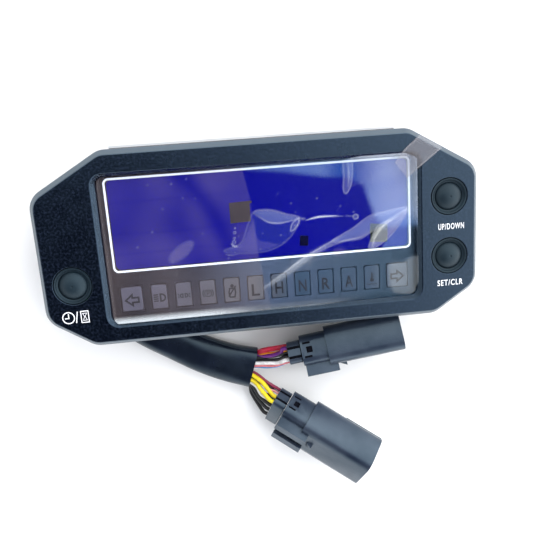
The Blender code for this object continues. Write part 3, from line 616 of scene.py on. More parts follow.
def push_buttons():
    """A domed rubber cap with a small sprue mark in the middle, in a boot with a soft rolled rim."""
    crown = CAP_TOP_Z - 0.05
    shares = [1 - k / 12 for k in range(12)]
    dome = [(CAP_RADIUS * share, crown - 2.5 * share**2.6) for share in shares]
    sprue = [(0.75, crown), (0.5, crown - 0.2), (0.1, crown - 0.25)]
    bore = CAP_RADIUS + 0.15
    rolled = [(bore + 0.9 * math.cos(t), FACE_Z - 0.1 - 0.8 * math.sin(t)) for t in (0.3, 0.7, 1.1, 1.57)]
    rim = [(BOOT_RADIUS, FACE_Z - 0.05), (BOOT_RADIUS - 0.4, FACE_Z), *rolled]
    for side, (x, y) in BUTTONS.items():
        bm = bmesh.new()
        turned(bm, [(CAP_RADIUS, CAP_LOW_Z), *dome, *sprue], x, y)
        made(f"cap_{side}", bm, BUTTON, f"button_{side}", [f"button_{side}"], 50)
        bm = bmesh.new()
        turned(bm, [(bore, BOOT_LOW_Z), (BOOT_RADIUS, BOOT_LOW_Z), *rim], x, y, ring=True)
        made(f"boot_ring_{side}", bm, BUTTON, replaces=[f"boot_{side}"], sharp=60)


# ---------------------------------------------------------------- printed marks

LETTER_THICKNESS = 0.05
SYMBOL_THICKNESS = 0.04
SYMBOL_LOW_Z = MASK_TOP_Z + 0.01
LABEL_LOW_Z = FACE_Z + 0.01
SYMBOL_MIDDLE_Y = sum(TILE_Y) / 2 - 0.5


def stroke(bm, points, width, low_z, high_z, closed=False):
    """A flat line of the given width through points, with mitred corners."""
    places = [Vector(p) for p in points]
    count = len(places)
    left, right = [], []
    for i, place in enumerate(places):
        before = places[i - 1] if closed or i > 0 else None
        after = places[(i + 1) % count] if closed or i < count - 1 else None
        a = (place - before).normalized() if before is not None else None
        b = (after - place).normalized() if after is not None else None
        along = ((a or b) + (b or a)).normalized()
        side = Vector((-along.y, along.x))
        reach = width / 2 / max(0.4, side.dot(Vector((-(a or b).y, (a or b).x))))
        left.append(place + side * reach)
        right.append(place - side * reach)
    if closed:
        loops = [(left, high_z), (left, low_z), (right, low_z), (right, high_z)]
        loft(bm, [[(p.x, p.y, z) for p in line] for line, z in loops], closed=True)
    else:
        plate(bm, [tuple(p) for p in right + left[::-1]], low_z, high_z)


class Mark:
    """Flat printed lines and patches about a centre, made into one piece."""

    def __init__(self, x, y, low, thickness):
        self.x, self.y, self.low, self.thickness = x, y, low, thickness
        self.bm = bmesh.new()

    def place(self, points):
        return [(self.x + a, self.y + b) for a, b in points]

    def line(self, points, width, closed=False, lift=0.0):
        low = self.low + lift
        stroke(self.bm, self.place(points), width, low, low + self.thickness, closed)

    def patch(self, points, lift=0.0):
        low = self.low + lift
        plate(self.bm, self.place(points), low, low + self.thickness)

    def done(self, name, finish, slot):
        made(name, self.bm, finish)


def frame_line():
    """The white line printed round the display, just above the mask, with a painted glow."""
    mark = Mark(0.0, 0.0, MASK_TOP_Z + 0.02, 0.06)
    mark.line(rectangle(-62.4, -9.9, 63.35, 28.35, 1.9), 0.85, closed=True)
    mark.done("display_frame_line", FRAME_INK_PAINTED_GLOW, "mask_print")


def lettering(name, text, centre, height, width, z, finish):
    """Generic words or letters, fitted to a height and width."""
    curve = bpy.data.curves.new(name, "FONT")
    curve.body = text
    curve.align_x = "CENTER"
    curve.align_y = "CENTER"
    curve.space_character = 1.2
    curve.extrude = 0.02
    curve.offset = 0.015
    curve.resolution_u = 4
    helper = linked(name + "_curve", curve)
    mesh = evaluated_mesh(helper)
    bpy.data.objects.remove(helper, do_unlink=True)
    bm = bmesh.new()
    bm.from_mesh(mesh)
    bpy.data.meshes.remove(mesh)
    bmesh.ops.remove_doubles(bm, verts=bm.verts, dist=0.00001)
    xs, ys = [v.co.x for v in bm.verts], [v.co.y for v in bm.verts]
    scale_x, scale_y = width / (max(xs) - min(xs)), height / (max(ys) - min(ys))
    mid_x, mid_y = (max(xs) + min(xs)) / 2, (max(ys) + min(ys)) / 2
    for v in bm.verts:
        x, y = centre[0] + (v.co.x - mid_x) * scale_x, centre[1] + (v.co.y - mid_y) * scale_y
        v.co = (x, y, z + (LETTER_THICKNESS if v.co.z > 0 else 0.0))
    made(name, bm, finish)


def labels():
    """A clock, a slash and an hourglass by the left button, and generic words by the right ones."""
    clock = Mark(-82.4, -26.3, LABEL_LOW_Z, LETTER_THICKNESS)
    clock.line(circle(0, 0, 2.35, 48), 0.42, closed=True)
    clock.line([(-1.5, -0.2), (0.1, -0.2), (0.1, 1.7)], 0.4)
    clock.line([(2.9, -2.4), (3.8, 2.4)], 0.38)
    clock.done("label_clock", WHITE_INK, "bezel_plastic")
    timer = Mark(-75.8, -26.3, LABEL_LOW_Z, LETTER_THICKNESS)
    timer.line(rectangle(-1.5, -2.4, 1.5, 2.4), 0.36, closed=True)
    glass = [(-0.1, 0.0), (-0.8, -1.5), (0.8, -1.5), (0.1, 0.0), (0.8, 1.5), (-0.8, 1.5)]
    timer.line(glass, 0.22, closed=True)
    timer.done("label_timer", WHITE_INK, "bezel_plastic")
    words = (("upper_right", "UP/DOWN", (79.8, -1.7)), ("lower_right", "SET/CLR", (79.3, -26.2)))
    for place, text, centre in words:
        lettering(f"label_{place}", text, centre, 2.6, 11.2, LABEL_LOW_Z, WHITE_INK)


def tile_centres():
    """The middle of each indicator tile, left to right."""
    narrow = [TILE_MIDDLE_X + (i - 4.5) * TILE_PITCH for i in range(10)]
    return [sum(ARROW_TILES_X[0]) / 2, *narrow, sum(ARROW_TILES_X[1]) / 2]


def arc(x, y, reach_x, reach_y, start, sweep, steps):
    """Points along part of an ellipse, from a start angle through a sweep in degrees."""
    turns = [math.radians(start + sweep * k / steps) for k in range(steps + 1)]
    return [(x + reach_x * math.cos(t), y + reach_y * math.sin(t)) for t in turns]


def half_lamp(mark, sign, flat_x, round_x, reach, half, steps, width):
    """A D-shaped lamp outline, whose round side faces the sign's way."""
    points = [(flat_x, -half), *arc(round_x, 0.0, reach, half, -90, 180, steps), (flat_x, half)]
    mark.line([(sign * a, b) for a, b in points][::sign], width, closed=True)


def symbols():
    """Generic warning symbols and gear letters on the tiles."""
    centres = tile_centres()
    marks = [Mark(x, SYMBOL_MIDDLE_Y, SYMBOL_LOW_Z, SYMBOL_THICKNESS) for x in centres]
    left, beam, lamps, brake, belt, *_, coolant, right = marks

    arrow = [(2.6, 1.0), (2.6, -1.0), (0.0, -1.0), (0.0, -2.3), (-2.8, 0.0), (0.0, 2.3), (0.0, 1.0)]
    for name, turn, sign in (("left", left, 1), ("right", right, -1)):
        turn.line([(sign * a, b) for a, b in arrow][::sign], 0.75, closed=True)
        turn.done(f"symbol_turn_{name}", INK, "tile_diffuser")

    half_lamp(beam, 1, 0.3, 0.7, 1.6, 1.5, 8, 0.7)
    for y in (1.35, 0.45, -0.45, -1.35):
        beam.line([(-2.6, y), (-0.6, y)], 0.5)
    beam.done("symbol_high_beam", INK, "tile_diffuser")

    for sign in (-1, 1):
        half_lamp(lamps, sign, 0.5, 0.8, 0.8, 0.75, 6, 0.5)
        for y in (-0.6, 0.0, 0.6):
            lamps.line([(sign * 1.95, y), (sign * 2.7, y * 1.5)], 0.32)
    lamps.done("symbol_position_lamps", INK, "tile_diffuser")

    brake.line(circle(0.0, 0.0, 1.45, 32), 0.4, closed=True)
    for start in (135, -45):
        brake.line(arc(0.0, 0.0, 2.2, 2.2, start, 90, 6), 0.4)
    brake.line([(-0.45, -0.8), (-0.45, 0.8)], 0.36)
    brake.line([(-0.3, 0.75), *arc(0.15, 0.33, 0.45, 0.42, 90, -180, 4), (-0.3, -0.09)], 0.34)
    brake.done("symbol_parking_brake", INK, "tile_diffuser")

    belt.patch(circle(0.2, 2.3, 0.75, 20))
    body = [(-1.3, -0.6), (-0.9, -2.6), (1.1, -2.6), (1.5, -0.6), (1.3, 1.2), (-0.9, 1.2)]
    belt.line(body, 0.62, closed=True)
    belt.line([(1.7, 2.2), (-1.5, -2.3)], 0.62, lift=0.02)
    belt.done("symbol_seat_belt", INK, "tile_diffuser")

    for name, text, x in zip(("low", "high", "neutral", "reverse", "auto"), "LHNRA", centres[5:10]):
        centre = (x, SYMBOL_MIDDLE_Y - 0.4)
        lettering(f"symbol_{name}", text, centre, 5.2, 3.4, SYMBOL_LOW_Z, INK)

    coolant.patch(circle(0.0, -0.7, 0.9, 20))
    coolant.patch(rectangle(-0.3, -0.7, 0.3, 2.6), lift=0.01)
    for y in (0.8, 1.7):
        coolant.line([(0.3, y), (1.2, y)], 0.3)
    coolant.line([(-2.2 + 0.4 * k, -2.6 + 0.25 * math.sin(k * math.pi / 2)) for k in range(12)], 0.3)
    coolant.done("symbol_coolant", INK, "tile_diffuser")


# ---------------------------------------------------------------- peel-off film

FILM_BOX = (-64.7, -30.2, 64.7, 29.3)
FILM_STEP = 0.4
FILM_CORNER = 2.6
FILM_LIFT = 1.3
# The border of the painted mauve reflection, from the top of the window down.
MAUVE_REFLECTION_BORDER = [(-7.0, 30.4), (-4.3, 16.7), (-2.4, -8.5), (1.3, -30.2)]
MAUVE_REFLECTION = (0.62, 0.5, 0.5)
PALE = (0.72, 0.8, 1.0)
PAINTED_GLINT = (0.85, 0.9, 1.0)
# Places across the pull tab, from the window to the bezel's edge: one side, the other side, and the height.
TAB_SECTIONS = [
    ((56.5, 26.5), (61.5, 19.8), 36.35),
    ((58.4, 29.0), (64.7, 22.4), 36.9),
    ((59.9, 31.6), (67.6, 25.0), 38.35),
    ((63.2, 34.4), (71.8, 28.2), 38.5),
    ((66.4, 37.0), (75.9, 31.3), 38.4),
]
TAB_ACROSS = 10


def smoothstep(low, high, value):
    t = np.clip((value - low) / (high - low), 0.0, 1.0)
    return t * t * (3 - 2 * t)


def to_line(x, y, points, closed=False):
    """Each point's distance from a polyline, the nearest place's share of its length, and if it is inside."""
    places = np.array([tuple(p) for p in points])
    ends = np.vstack([places[1:], places[:1]]) if closed else places[1:]
    starts = places if closed else places[:-1]
    best = np.full(x.shape, 1e9)
    along = np.zeros(x.shape)
    inside = np.zeros(x.shape, bool)
    for i, (a, b) in enumerate(zip(starts, ends)):
        edge = b - a
        t = np.clip(((x - a[0]) * edge[0] + (y - a[1]) * edge[1]) / max(edge @ edge, 1e-9), 0, 1)
        distance = np.hypot(x - a[0] - t * edge[0], y - a[1] - t * edge[1])
        nearer = distance < best
        best = np.where(nearer, distance, best)
        along = np.where(nearer, (i + t) / len(starts), along)
        if closed:
            crosses = (a[1] > y) != (b[1] > y)
            span = b[1] - a[1] if b[1] != a[1] else 1e-9
            inside ^= crosses & (x < (b[0] - a[0]) * (y - a[1]) / span + a[0])
    return best, along, inside


def drift(x, y, seed, scale):
    """Soft noise from -1 to 1, made of a few waves."""
    rng = random.Random(seed)
    total = np.zeros(x.shape)
    for k in range(6):
        angle = rng.uniform(0, 2 * math.pi)
        wave = scale * (0.6 + 0.35 * k)
        phase = rng.uniform(0, 2 * math.pi)
        across = (x * math.cos(angle) + y * math.sin(angle)) * wave
        total += np.sin(across + phase + 0.7 * np.sin(y * wave * 0.6))
    return total / 6


class FilmLook:
    """Height, colour and cover of the film at each point of its grid; the colour and cover hold haze and
    painted reflections and highlights.
    """

    def __init__(self, x, y):
        self.x, self.y = x, y
        self.height = np.zeros(x.shape)
        self.colour = np.tile(np.array([0.55, 0.62, 0.9]), (*x.shape, 1))
        self.cover = np.full(x.shape, 0.001)

    def lay(self, cover, colour):
        """Adds a layer of haze, painted reflection or painted highlight over what is there."""
        total = self.cover + cover * (1 - self.cover)
        share = (cover / np.maximum(total, 1e-6))[..., None]
        self.colour = self.colour * (1 - share) + np.array(colour) * share
        self.cover = total

    def blister(self, outline, height, cover, colour, rim, rim_width=0.35):
        """A lifted patch of film: clear or hazy inside, with a painted highlight round its rim."""
        distance, _, inside = to_line(self.x, self.y, catmull(outline, 8, True), True)
        self.height += np.where(inside, height * (1 - np.exp(-distance / 1.2)), 0)
        self.lay(np.where(inside, 0.6 * cover, 0) * smoothstep(0.0, 0.8, distance), colour)
        # Painted highlight round the rim.
        self.lay(0.45 * rim * np.exp(-((distance / rim_width) ** 2)), PAINTED_GLINT)

    def crease(self, points, width, height, cover, colour=PAINTED_GLINT):
        """A raised fold that tapers at both ends, with a painted highlight along it."""
        distance, along, _ = to_line(self.x, self.y, catmull(points, 8))
        taper = np.sin(np.clip(along, 0.02, 0.98) * math.pi) ** 0.5
        shape = np.exp(-((distance / (width * taper)) ** 2)) * taper
        self.height += height * shape
        # Painted highlight along the fold.
        self.lay(0.42 * cover * shape, colour)


def paint_film(look):
    """Painted reflections (a mauve tint at the left and a blue glow at the top right), haze, blisters and
    folds with painted highlights, each laid over the ones before it.
    """
    x, y = look.x, look.y
    lay, blister, crease = look.lay, look.blister, look.crease

    # Painted reflection: a mauve tint over the left of the window, thinner along a curved band and crossed by
    # three darker wavy lines, standing in for what the window mirrors there.
    edge = np.interp(-y, [-p[1] for p in MAUVE_REFLECTION_BORDER], [p[0] for p in MAUVE_REFLECTION_BORDER])
    mauve_reflection = smoothstep(0.35, -0.35, x - edge)
    near_band = to_line(x, y, catmull([(-33, 30), (-26, 21), (-20, 12), (-14, -3)], 12))[0]
    thin = 1 - 0.75 * np.exp(-((near_band / 4.5) ** 2))
    swirl = drift(x + 4 * drift(x, y, 12, 0.08), y, 3, 0.14)
    lay(mauve_reflection * (0.044 + 0.034 * swirl) * thin, MAUVE_REFLECTION)
    for level, seed in ((19.0, 31), (6.0, 32), (-2.0, 33)):
        wavy = level + 0.8 * drift(x, y, seed, 0.12)
        look.colour *= 1 - 0.25 * (mauve_reflection * np.exp(-(((y - wavy) / 0.35) ** 2)))[..., None]

    # Painted reflection: a blue glow over the top right of the window, with a pale streak along the top, a
    # paler patch to the right and a bluer patch below it, standing in for the bright light the window
    # mirrors.
    glow = [(-7.5, 30.5), (-5.5, 27.0), (12.0, 24.4), (27.0, 21.2), (35.4, 20.6), (41.6, 17.2), (43.9, 10.0)]
    glow += [(45.8, 4.3), (50.0, -2.0), (76.0, -2.0), (76.0, 42.0), (-8.0, 42.0)]
    distance, _, above = to_line(x, y, glow, True)
    soft = np.where(above, smoothstep(0.0, 3.5, distance), 0.0)
    lay(soft * (0.1 + 0.03 * drift(x, y, 5, 0.2)), (0.12, 0.42, 0.9))
    streak = soft * smoothstep(24.5, 27.0, y + 0.12 * x) * smoothstep(33, 26, x)
    lay(streak * (0.1 + 0.03 * drift(x, y, 14, 0.3)), (0.45, 0.62, 0.85))
    pale = soft * smoothstep(36, 52, x) * smoothstep(0.0, 8.0, y)
    lay(pale * (0.17 + 0.05 * drift(x, y, 6, 0.25)), PALE)
    lay(soft * smoothstep(40, 60, x) * smoothstep(14, 2, y) * 0.12, (0.3, 0.45, 0.9))

    cos, sin = math.cos(math.radians(36)), math.sin(math.radians(36))
    oval = [(6.4 * u, 2.5 * v) for u, v in circle(0.0, 0.0, 1.0, 12)]
    oval = [(-34.2 + u * cos - v * sin, -3.2 + u * sin + v * cos) for u, v in oval]
    blister(oval, 0.35, 0.1, (0.75, 0.68, 0.72), 0.07)
    leaf = [(-16.5, -4.3), (-9.4, -1.6), (-6.1, 5.3), (-3.3, 10.7), (0.3, 11.4), (4.8, 10.9), (10.1, 8.9)]
    leaf += [(15.8, 6.8), (13.0, 1.2), (8.5, -3.1), (2.5, -5.6), (-3.5, -6.1), (-10.9, -5.7)]
    blister(leaf, 0.6, 0.035, (0.35, 0.55, 1.0), 0.12)
    flap = [(-3.0, 10.3), (0.3, 11.2), (4.8, 10.7), (10.1, 8.7), (15.4, 6.8), (8.6, 5.7), (4.5, 5.9)]
    blister([*flap, (1.6, 6.9)], 0.25, 0.14, (0.6, 0.75, 1.0), 0.16)
    crease([(-1.7, 9.5), (1.6, 6.7), (4.5, 5.7), (8.6, 5.5), (15.4, 6.8)], 0.3, 0.25, 0.5)
    blister([(11.7, 1.7), (12.5, 4.9), (15.4, 6.8), (14.3, 3.5)], 0.3, 0.06, PALE, 0.4, 0.3)
    foot = [(-16.0, -4.6), (-9.0, -1.2), (-5.5, 5.0), (-3.0, 8.5), (-2.0, 0.0), (3.0, -2.0), (6.5, -3.8)]
    blister([*foot, (-2.0, -5.8)], 0.1, 0.06, (0.7, 0.6, 0.85), 0.0)
    crease([(-13.6, -1.2), (-12.4, -2.6), (-10.5, -3.0)], 0.35, 0.2, 0.6)
    crease([(-16.5, -5.6), (-14.0, -6.4), (-10.5, -6.3)], 0.2, 0.1, 0.35)

    crease([(17.9, 5.6), (24.2, 6.6), (34.0, 6.2)], 0.32, 0.3, 1.3)
    crease([(15.8, 6.8), (17.0, 6.3), (18.2, 6.6)], 0.5, 0.2, 0.3)
    blister(circle(39.3, 5.4, 1.0, 8), 0.3, 0.1, PALE, 0.45, 0.22)
    for k in range(4):
        blister(circle(35.4 + 0.8 * k, 6.0 - 0.05 * k, 0.16, 6), 0.1, 0.3, PALE, 0.3, 0.12)
    drip = [(35.2, 29.5), (35.0, 22.0), (34.6, 17.5), (35.6, 15.4), (37.3, 17.6), (38.4, 22.0), (38.4, 29.5)]
    blister(drip, 0.35, 0.1, PALE, 0.32, 0.3)
    crease([(36.6, 29.0), (36.9, 23.0), (36.6, 18.0)], 0.4, 0.2, 0.3)

    big_leaf = [(28.8, -4.2), (37.5, 0.3), (45.4, 5.2), (51.5, 6.4), (58.4, 7.5), (61.6, 7.2)]
    big_leaf += [(53.9, 2.2), (46.9, -0.9), (38.7, -3.6)]
    blister(big_leaf, 0.7, 0.24, (0.45, 0.58, 0.9), 0.3)
    low_leaf = [(61.4, 6.7), (57.8, 0.3), (52.0, -5.6), (45.8, -8.9), (44.6, -8.0), (46.0, -4.2), (48.7, 0.7)]
    blister([*low_leaf, (54.5, 3.6)], 0.5, 0.3, (0.62, 0.66, 0.8), 0.4, 0.3)
    crease([(45.6, -8.6), (47.2, -3.5), (51.5, 1.4), (55.5, 3.6)], 0.7, 0.35, 0.7, (0.85, 0.88, 0.8))
    crease([(-4.0, -23.4), (8.1, -16.6), (14.8, -12.3), (22.7, -7.9), (33.0, -2.4)], 1.3, 0.5, 0.38)
    crease([(-2.6, -22.2), (8.1, -15.6), (14.8, -11.2), (22.7, -7.0), (31.0, -3.0)], 0.4, 0.2, 0.55)
    crease([(24.0, -7.6), (33.0, -4.6), (41.0, -3.8), (46.0, -1.6)], 0.5, 0.25, 0.3)
    blush = [(28.6, -8.2), (31.4, -7.2), (34.6, -8.0), (34.0, -10.2), (31.0, -11.2), (29.0, -10.2)]
    blister(blush, 0.15, 0.07, (0.9, 0.6, 0.8), 0.02)
    # Painted reflection: a flat blue patch with no lift, and a whitish patch over the right arrow tile.
    blister([(50.0, -8.9), (61.8, -8.4), (62.4, 5.0), (57.8, 0.3)], 0.0, 0.34, (0.2, 0.34, 0.7), 0.0)
    patch = [(53.2, -16.4), (59.0, -15.6), (65.5, -14.0), (65.5, -29.4), (57.0, -29.8), (53.6, -26.8)]
    blister(patch, 0.2, 0.14, (0.85, 0.9, 0.92), 0.05)
    # Painted highlight along the upper part of the film's right end.
    end_highlight = smoothstep(63.0, 64.6, x) * smoothstep(-1, 5, y)
    lay(0.12 * end_highlight * (0.6 + 0.4 * drift(x, y, 8, 0.6)), (0.6, 0.68, 0.7))

    rng = random.Random(21)
    for _ in range(46):
        place = (rng.uniform(-60, 62), rng.uniform(-14, 28))
        blister(circle(*place, rng.uniform(0.12, 0.34), 6), 0.12, 0.14, PALE, 0.16, 0.16)
    for _ in range(16):
        place = (rng.gauss(20, 5), rng.gauss(-12.0, 1.6))
        blister(circle(*place, rng.uniform(0.2, 0.5), 6), 0.12, 0.04, PALE, 0.12, 0.16)
    for bubble in ((-11.6, 2.9, 0.55), (-11.9, 0.6, 0.4), (-11.3, 4.8, 0.25), (-12.2, -1.0, 0.7)):
        blister(circle(*bubble, 8), 0.2, 0.12, PALE, 0.3, 0.16)
    look.height += 0.05 * drift(x, y, 9, 0.35)


def thickened(obj, thickness, offset):
    """Gives a sheet a thickness in millimetres."""
    modifier = obj.modifiers.new("thickness", "SOLIDIFY")
    modifier.thickness = thickness * MM
    modifier.offset = offset


def film():
    """The film on the window: a fine grid with blisters, folds and curled edges, given a thickness."""
    low_x, low_y, high_x, high_y = FILM_BOX
    columns = round((high_x - low_x) / FILM_STEP) + 1
    rows = round((high_y - low_y) / FILM_STEP) + 1
    x, y = np.meshgrid(np.linspace(low_x, high_x, columns), np.linspace(low_y, high_y, rows))
    look = FilmLook(x, y)
    paint_film(look)

    centre_x = np.clip(x, low_x + FILM_CORNER, high_x - FILM_CORNER)
    centre_y = np.clip(y, low_y + FILM_CORNER, high_y - FILM_CORNER)
    away_x, away_y = x - centre_x, y - centre_y
    reach = np.hypot(away_x, away_y)
    pull = np.where(reach > FILM_CORNER, FILM_CORNER / np.maximum(reach, 1e-6), 1.0)
    x, y = centre_x + away_x * pull, centre_y + away_y * pull

    curl = smoothstep(-28.2, -30.2, y) * smoothstep(45, 20, x)
    # Painted highlight along the curled lower edge, brightest towards the left.
    curl_highlight = curl * (0.5 * smoothstep(-2, -30, x) + 0.08)
    look.lay(np.clip(curl_highlight, 0, 0.8), (0.85, 0.93, 1.0))
    side_curl = smoothstep(-63.0, -64.7, x)
    look.lay(side_curl * 0.03, (0.7, 0.65, 0.7))
    y = y - 0.9 * curl
    top_curl = smoothstep(28.0, 29.3, y) * smoothstep(34, 42, x) * smoothstep(63.5, 60.0, x)
    end_curl = smoothstep(63.4, 64.7, x) * smoothstep(-28, -24, y)
    y = y + 0.9 * top_curl
    x = x + 0.9 * end_curl
    # Painted highlight: a pale band where the top and right edges curl up.
    look.lay(0.28 * top_curl + 0.06 * end_curl * smoothstep(-4, 6, y) * (1 - top_curl), (0.75, 0.76, 0.8))
    lifted = FILM_LIFT * np.maximum.reduce([curl, top_curl, end_curl])
    z = FILM_Z + 0.1 + np.clip(look.height, -0.05, FILM_LIFT) + lifted + 0.5 * side_curl**2

    vertices = np.stack([x, y, z], -1).reshape(-1, 3) * MM
    index = np.arange(rows * columns).reshape(rows, columns)
    faces = np.stack([index[:-1, :-1], index[:-1, 1:], index[1:, 1:], index[1:, :-1]], -1).reshape(-1, 4)
    mesh = bpy.data.meshes.new("film_sheet")
    mesh.from_pydata(vertices.tolist(), [], faces.tolist())
    layer = mesh.color_attributes.new("film_look", "FLOAT_COLOR", "POINT")
    one_face = 1 - np.sqrt(1 - np.clip(look.cover, 0, 0.99))
    values = np.dstack([look.colour, one_face[..., None]]).reshape(-1, 4)
    layer.data.foreach_set("color", np.clip(values, 0, 1).astype(np.float32).ravel())
    mesh.materials.append(FILM.mat)
    mesh.shade_smooth()
    sheet = linked("film_sheet", mesh)
    thickened(sheet, 0.05, 1.0)
    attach(sheet, "root")
    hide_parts("protective_film")


def film_tab():
    """The pull tab, from the film's corner over the bezel to its top right edge."""
    sides = [catmull([(*section[i], section[2]) for section in TAB_SECTIONS], 6) for i in (0, 1)]
    bm = bmesh.new()
    grid = []
    for i, (a, b) in enumerate(zip(*sides)):
        line = []
        for k in range(TAB_ACROSS + 1):
            t = k / TAB_ACROSS
            bulge = 0.12 * math.sin(math.pi * t) + 0.03 * math.sin(9 * t + i * 0.5)
            line.append(bm.verts.new(a.lerp(b, t) + Vector((0, 0, bulge))))
        grid.append(line)
    for low, high in zip(grid, grid[1:]):
        for k in range(TAB_ACROSS):
            bm.faces.new((low[k], low[k + 1], high[k + 1], high[k]))
    obj = made("film_tab", bm, FILM, replaces=["film_pull_tab"])
    layer = obj.data.color_attributes.new("film_look", "FLOAT_COLOR", "POINT")
    values = []
    for i in range(len(grid)):
        for k in range(TAB_ACROSS + 1):
            border = k in (0, TAB_ACROSS) or i == len(grid) - 1
            values += [0.68, 0.64, 0.68, 0.15 if border else 0.075]
    layer.data.foreach_set("color", values)
    thickened(obj, 0.06, -1.0)


def display_marks():
    """Three darker patches over the display."""
    plum = Finish("dark_patch_plum", (0.03, 0.02, 0.03), 0.3)
    plum.mottle(200.0, (0.022, 0.014, 0.022), (0.035, 0.024, 0.03))
    navy = Finish("dark_spot_navy", (0.0, 0.0, 0.02), 0.3, specular=0.1)
    navy.mottle(300.0, (0.0, 0.0, 0.012), (0.0, 0.0, 0.03))
    olive = Finish("dark_patch_olive", (0.02, 0.03, 0.02), 0.3)
    olive.mottle(300.0, (0.012, 0.02, 0.014), (0.026, 0.036, 0.024))
    patch = [(-12.9, 6.3), (-4.4, 6.6), (-4.4, 14.0), (-3.4, 14.2), (-3.4, 15.2), (-12.9, 14.9)]
    spot = [(15.6, -5.6), (19.2, -5.9), (19.6, -1.6), (16.0, -1.2)]
    right = [(46.1, -6.6), (53.8, -7.2), (54.0, 0.5), (46.4, 1.4)]
    marks = (("patch", patch, plum), ("spot", spot, navy), ("patch_right", right, olive))
    for name, outline, finish in marks:
        bm = bmesh.new()
        plate(bm, outline, LCD_TOP_Z + 0.02, LCD_TOP_Z + 0.1)
        made(f"display_{name}", bm, finish)


# ---------------------------------------------------------------- harness

SLEEVE_SIDES = 40
SLEEVE_WALL = 0.9
SLEEVE_RADIUS = 5.3
SLEEVE_HEADING = Vector((0.915, -0.40, 0.0)).normalized()
WIRE_COLOURS = {
    "crimson": (0.5, 0.01, 0.045),
    "amber": (0.7, 0.25, 0.01),
    "purple": (0.13, 0.01, 0.2),
    "black": (0.006, 0.006, 0.009),
    "white": (0.85, 0.85, 0.87),
    "coral": (0.75, 0.22, 0.25),
    "sky": (0.1, 0.34, 0.7),
    "maroon": (0.2, 0.01, 0.05),
    "yellow": (0.8, 0.64, 0.01),
    "pink": (0.6, 0.26, 0.3),
    "dark_red": (0.2, 0.005, 0.015),
    "teal": (0.03, 0.2, 0.2),
}
# Each wire: its name, its radius, three places from the sleeve to the cap, and the row and column it enters.
REAR_WIRES = [
    ("crimson_a", 0.8, (-5.4, -60.4, 7.6), (-1.5, -58.2, 11.5), (3.8, -57.3, 12.8), (3.9, 5.6)),
    ("crimson_b", 0.8, (-5.5, -61.3, 8.0), (-1.0, -59.4, 11.0), (4.2, -58.5, 12.3), (2.9, 4.2)),
    ("amber", 0.7, (-5.8, -62.2, 8.6), (-1.1, -60.8, 11.0), (3.7, -60.3, 12.4), (1.7, 6.0)),
    ("purple", 0.9, (-6.2, -62.0, 8.0), (1.1, -61.3, 12.8), (6.2, -59.2, 14.8), (2.6, 7.8)),
    ("black_a", 0.9, (-6.2, -62.8, 9.2), (-1.1, -62.3, 10.6), (4.0, -61.6, 12.4), (0.4, 5.0)),
    ("black_b", 0.9, (-6.5, -64.2, 9.0), (-0.8, -64.0, 11.0), (4.6, -63.6, 13.0), (-1.3, 5.4)),
    ("white_a", 1.0, (-7.0, -65.3, 9.2), (-0.9, -65.2, 11.3), (4.9, -64.9, 13.4), (-2.8, 5.8)),
    ("coral", 0.7, (-7.6, -66.9, 8.6), (-2.3, -67.1, 9.6), (3.1, -66.9, 11.8), (-3.9, 4.0)),
    ("sky", 0.7, (-7.4, -68.0, 7.0), (-1.6, -68.4, 8.6), (4.3, -67.8, 10.4), (-4.0, 1.6)),
    ("white_b", 0.8, (-7.5, -68.8, 7.0), (-2.8, -68.6, 8.0), (3.0, -67.4, 9.6), (-3.4, -0.6)),
]
FRONT_WIRES = [
    ("maroon", 0.8, (-8.6, -69.9, 8.4), (-5.2, -71.8, 9.5), (-1.2, -75.4, 10.6), (3.9, 7.4)),
    ("black_c", 0.7, (-8.9, -72.2, 7.6), (-4.5, -75.6, 9.0), (-0.6, -77.6, 10.6), (3.0, 5.8)),
    ("yellow_a", 1.0, (-8.9, -70.8, 9.6), (-5.8, -72.6, 11.2), (-2.9, -75.4, 12.2), (-0.6, 7.6)),
    ("pink", 0.6, (-9.0, -73.4, 6.6), (-3.4, -76.9, 9.4), (-0.6, -79.0, 11.0), (1.8, 7.4)),
    ("yellow_b", 1.0, (-9.6, -73.4, 9.0), (-6.4, -75.5, 10.4), (-4.0, -78.8, 12.4), (-3.6, 7.4)),
    ("dark_red", 0.8, (-9.1, -75.0, 7.0), (-5.4, -78.2, 8.8), (-2.4, -81.6, 10.6), (0.4, 5.4)),
    ("white_c", 0.7, (-9.7, -75.3, 8.0), (-6.4, -77.9, 9.2), (-4.4, -81.6, 11.0), (-2.2, 4.8)),
    ("teal", 0.7, (-9.6, -74.8, 5.6), (-5.9, -78.6, 6.6), (-3.6, -82.6, 8.4), (0.6, 2.6)),
    ("black_d", 0.9, (-9.6, -75.8, 7.4), (-7.0, -79.4, 8.4), (-5.0, -83.0, 10.2), (-3.9, 4.0)),
    ("black_e", 0.9, (-9.8, -76.6, 6.4), (-7.9, -81.2, 6.6), (-5.6, -85.4, 8.2), (-3.8, -0.6)),
    ("black_f", 0.9, (-9.9, -77.0, 5.4), (-8.9, -82.4, 5.0), (-6.7, -87.2, 6.0), (-3.9, -5.2)),
]
# The slots of a housing and the grooves of a cap: low X, low Y, high X, high Y, and the height of the face.
CONNECTOR_SLOTS = [
    (8.85, -1.35, 11.55, 1.35, SNAP_FACE),
    (7.45, -3.6, 10.95, -2.8, SNAP_FACE),
    (7.45, 2.8, 10.95, 3.6, SNAP_FACE),
    (0.05, -2.75, 6.0, -1.65, CAP_FACE),
    (0.05, 1.65, 6.0, 2.75, CAP_FACE),
]


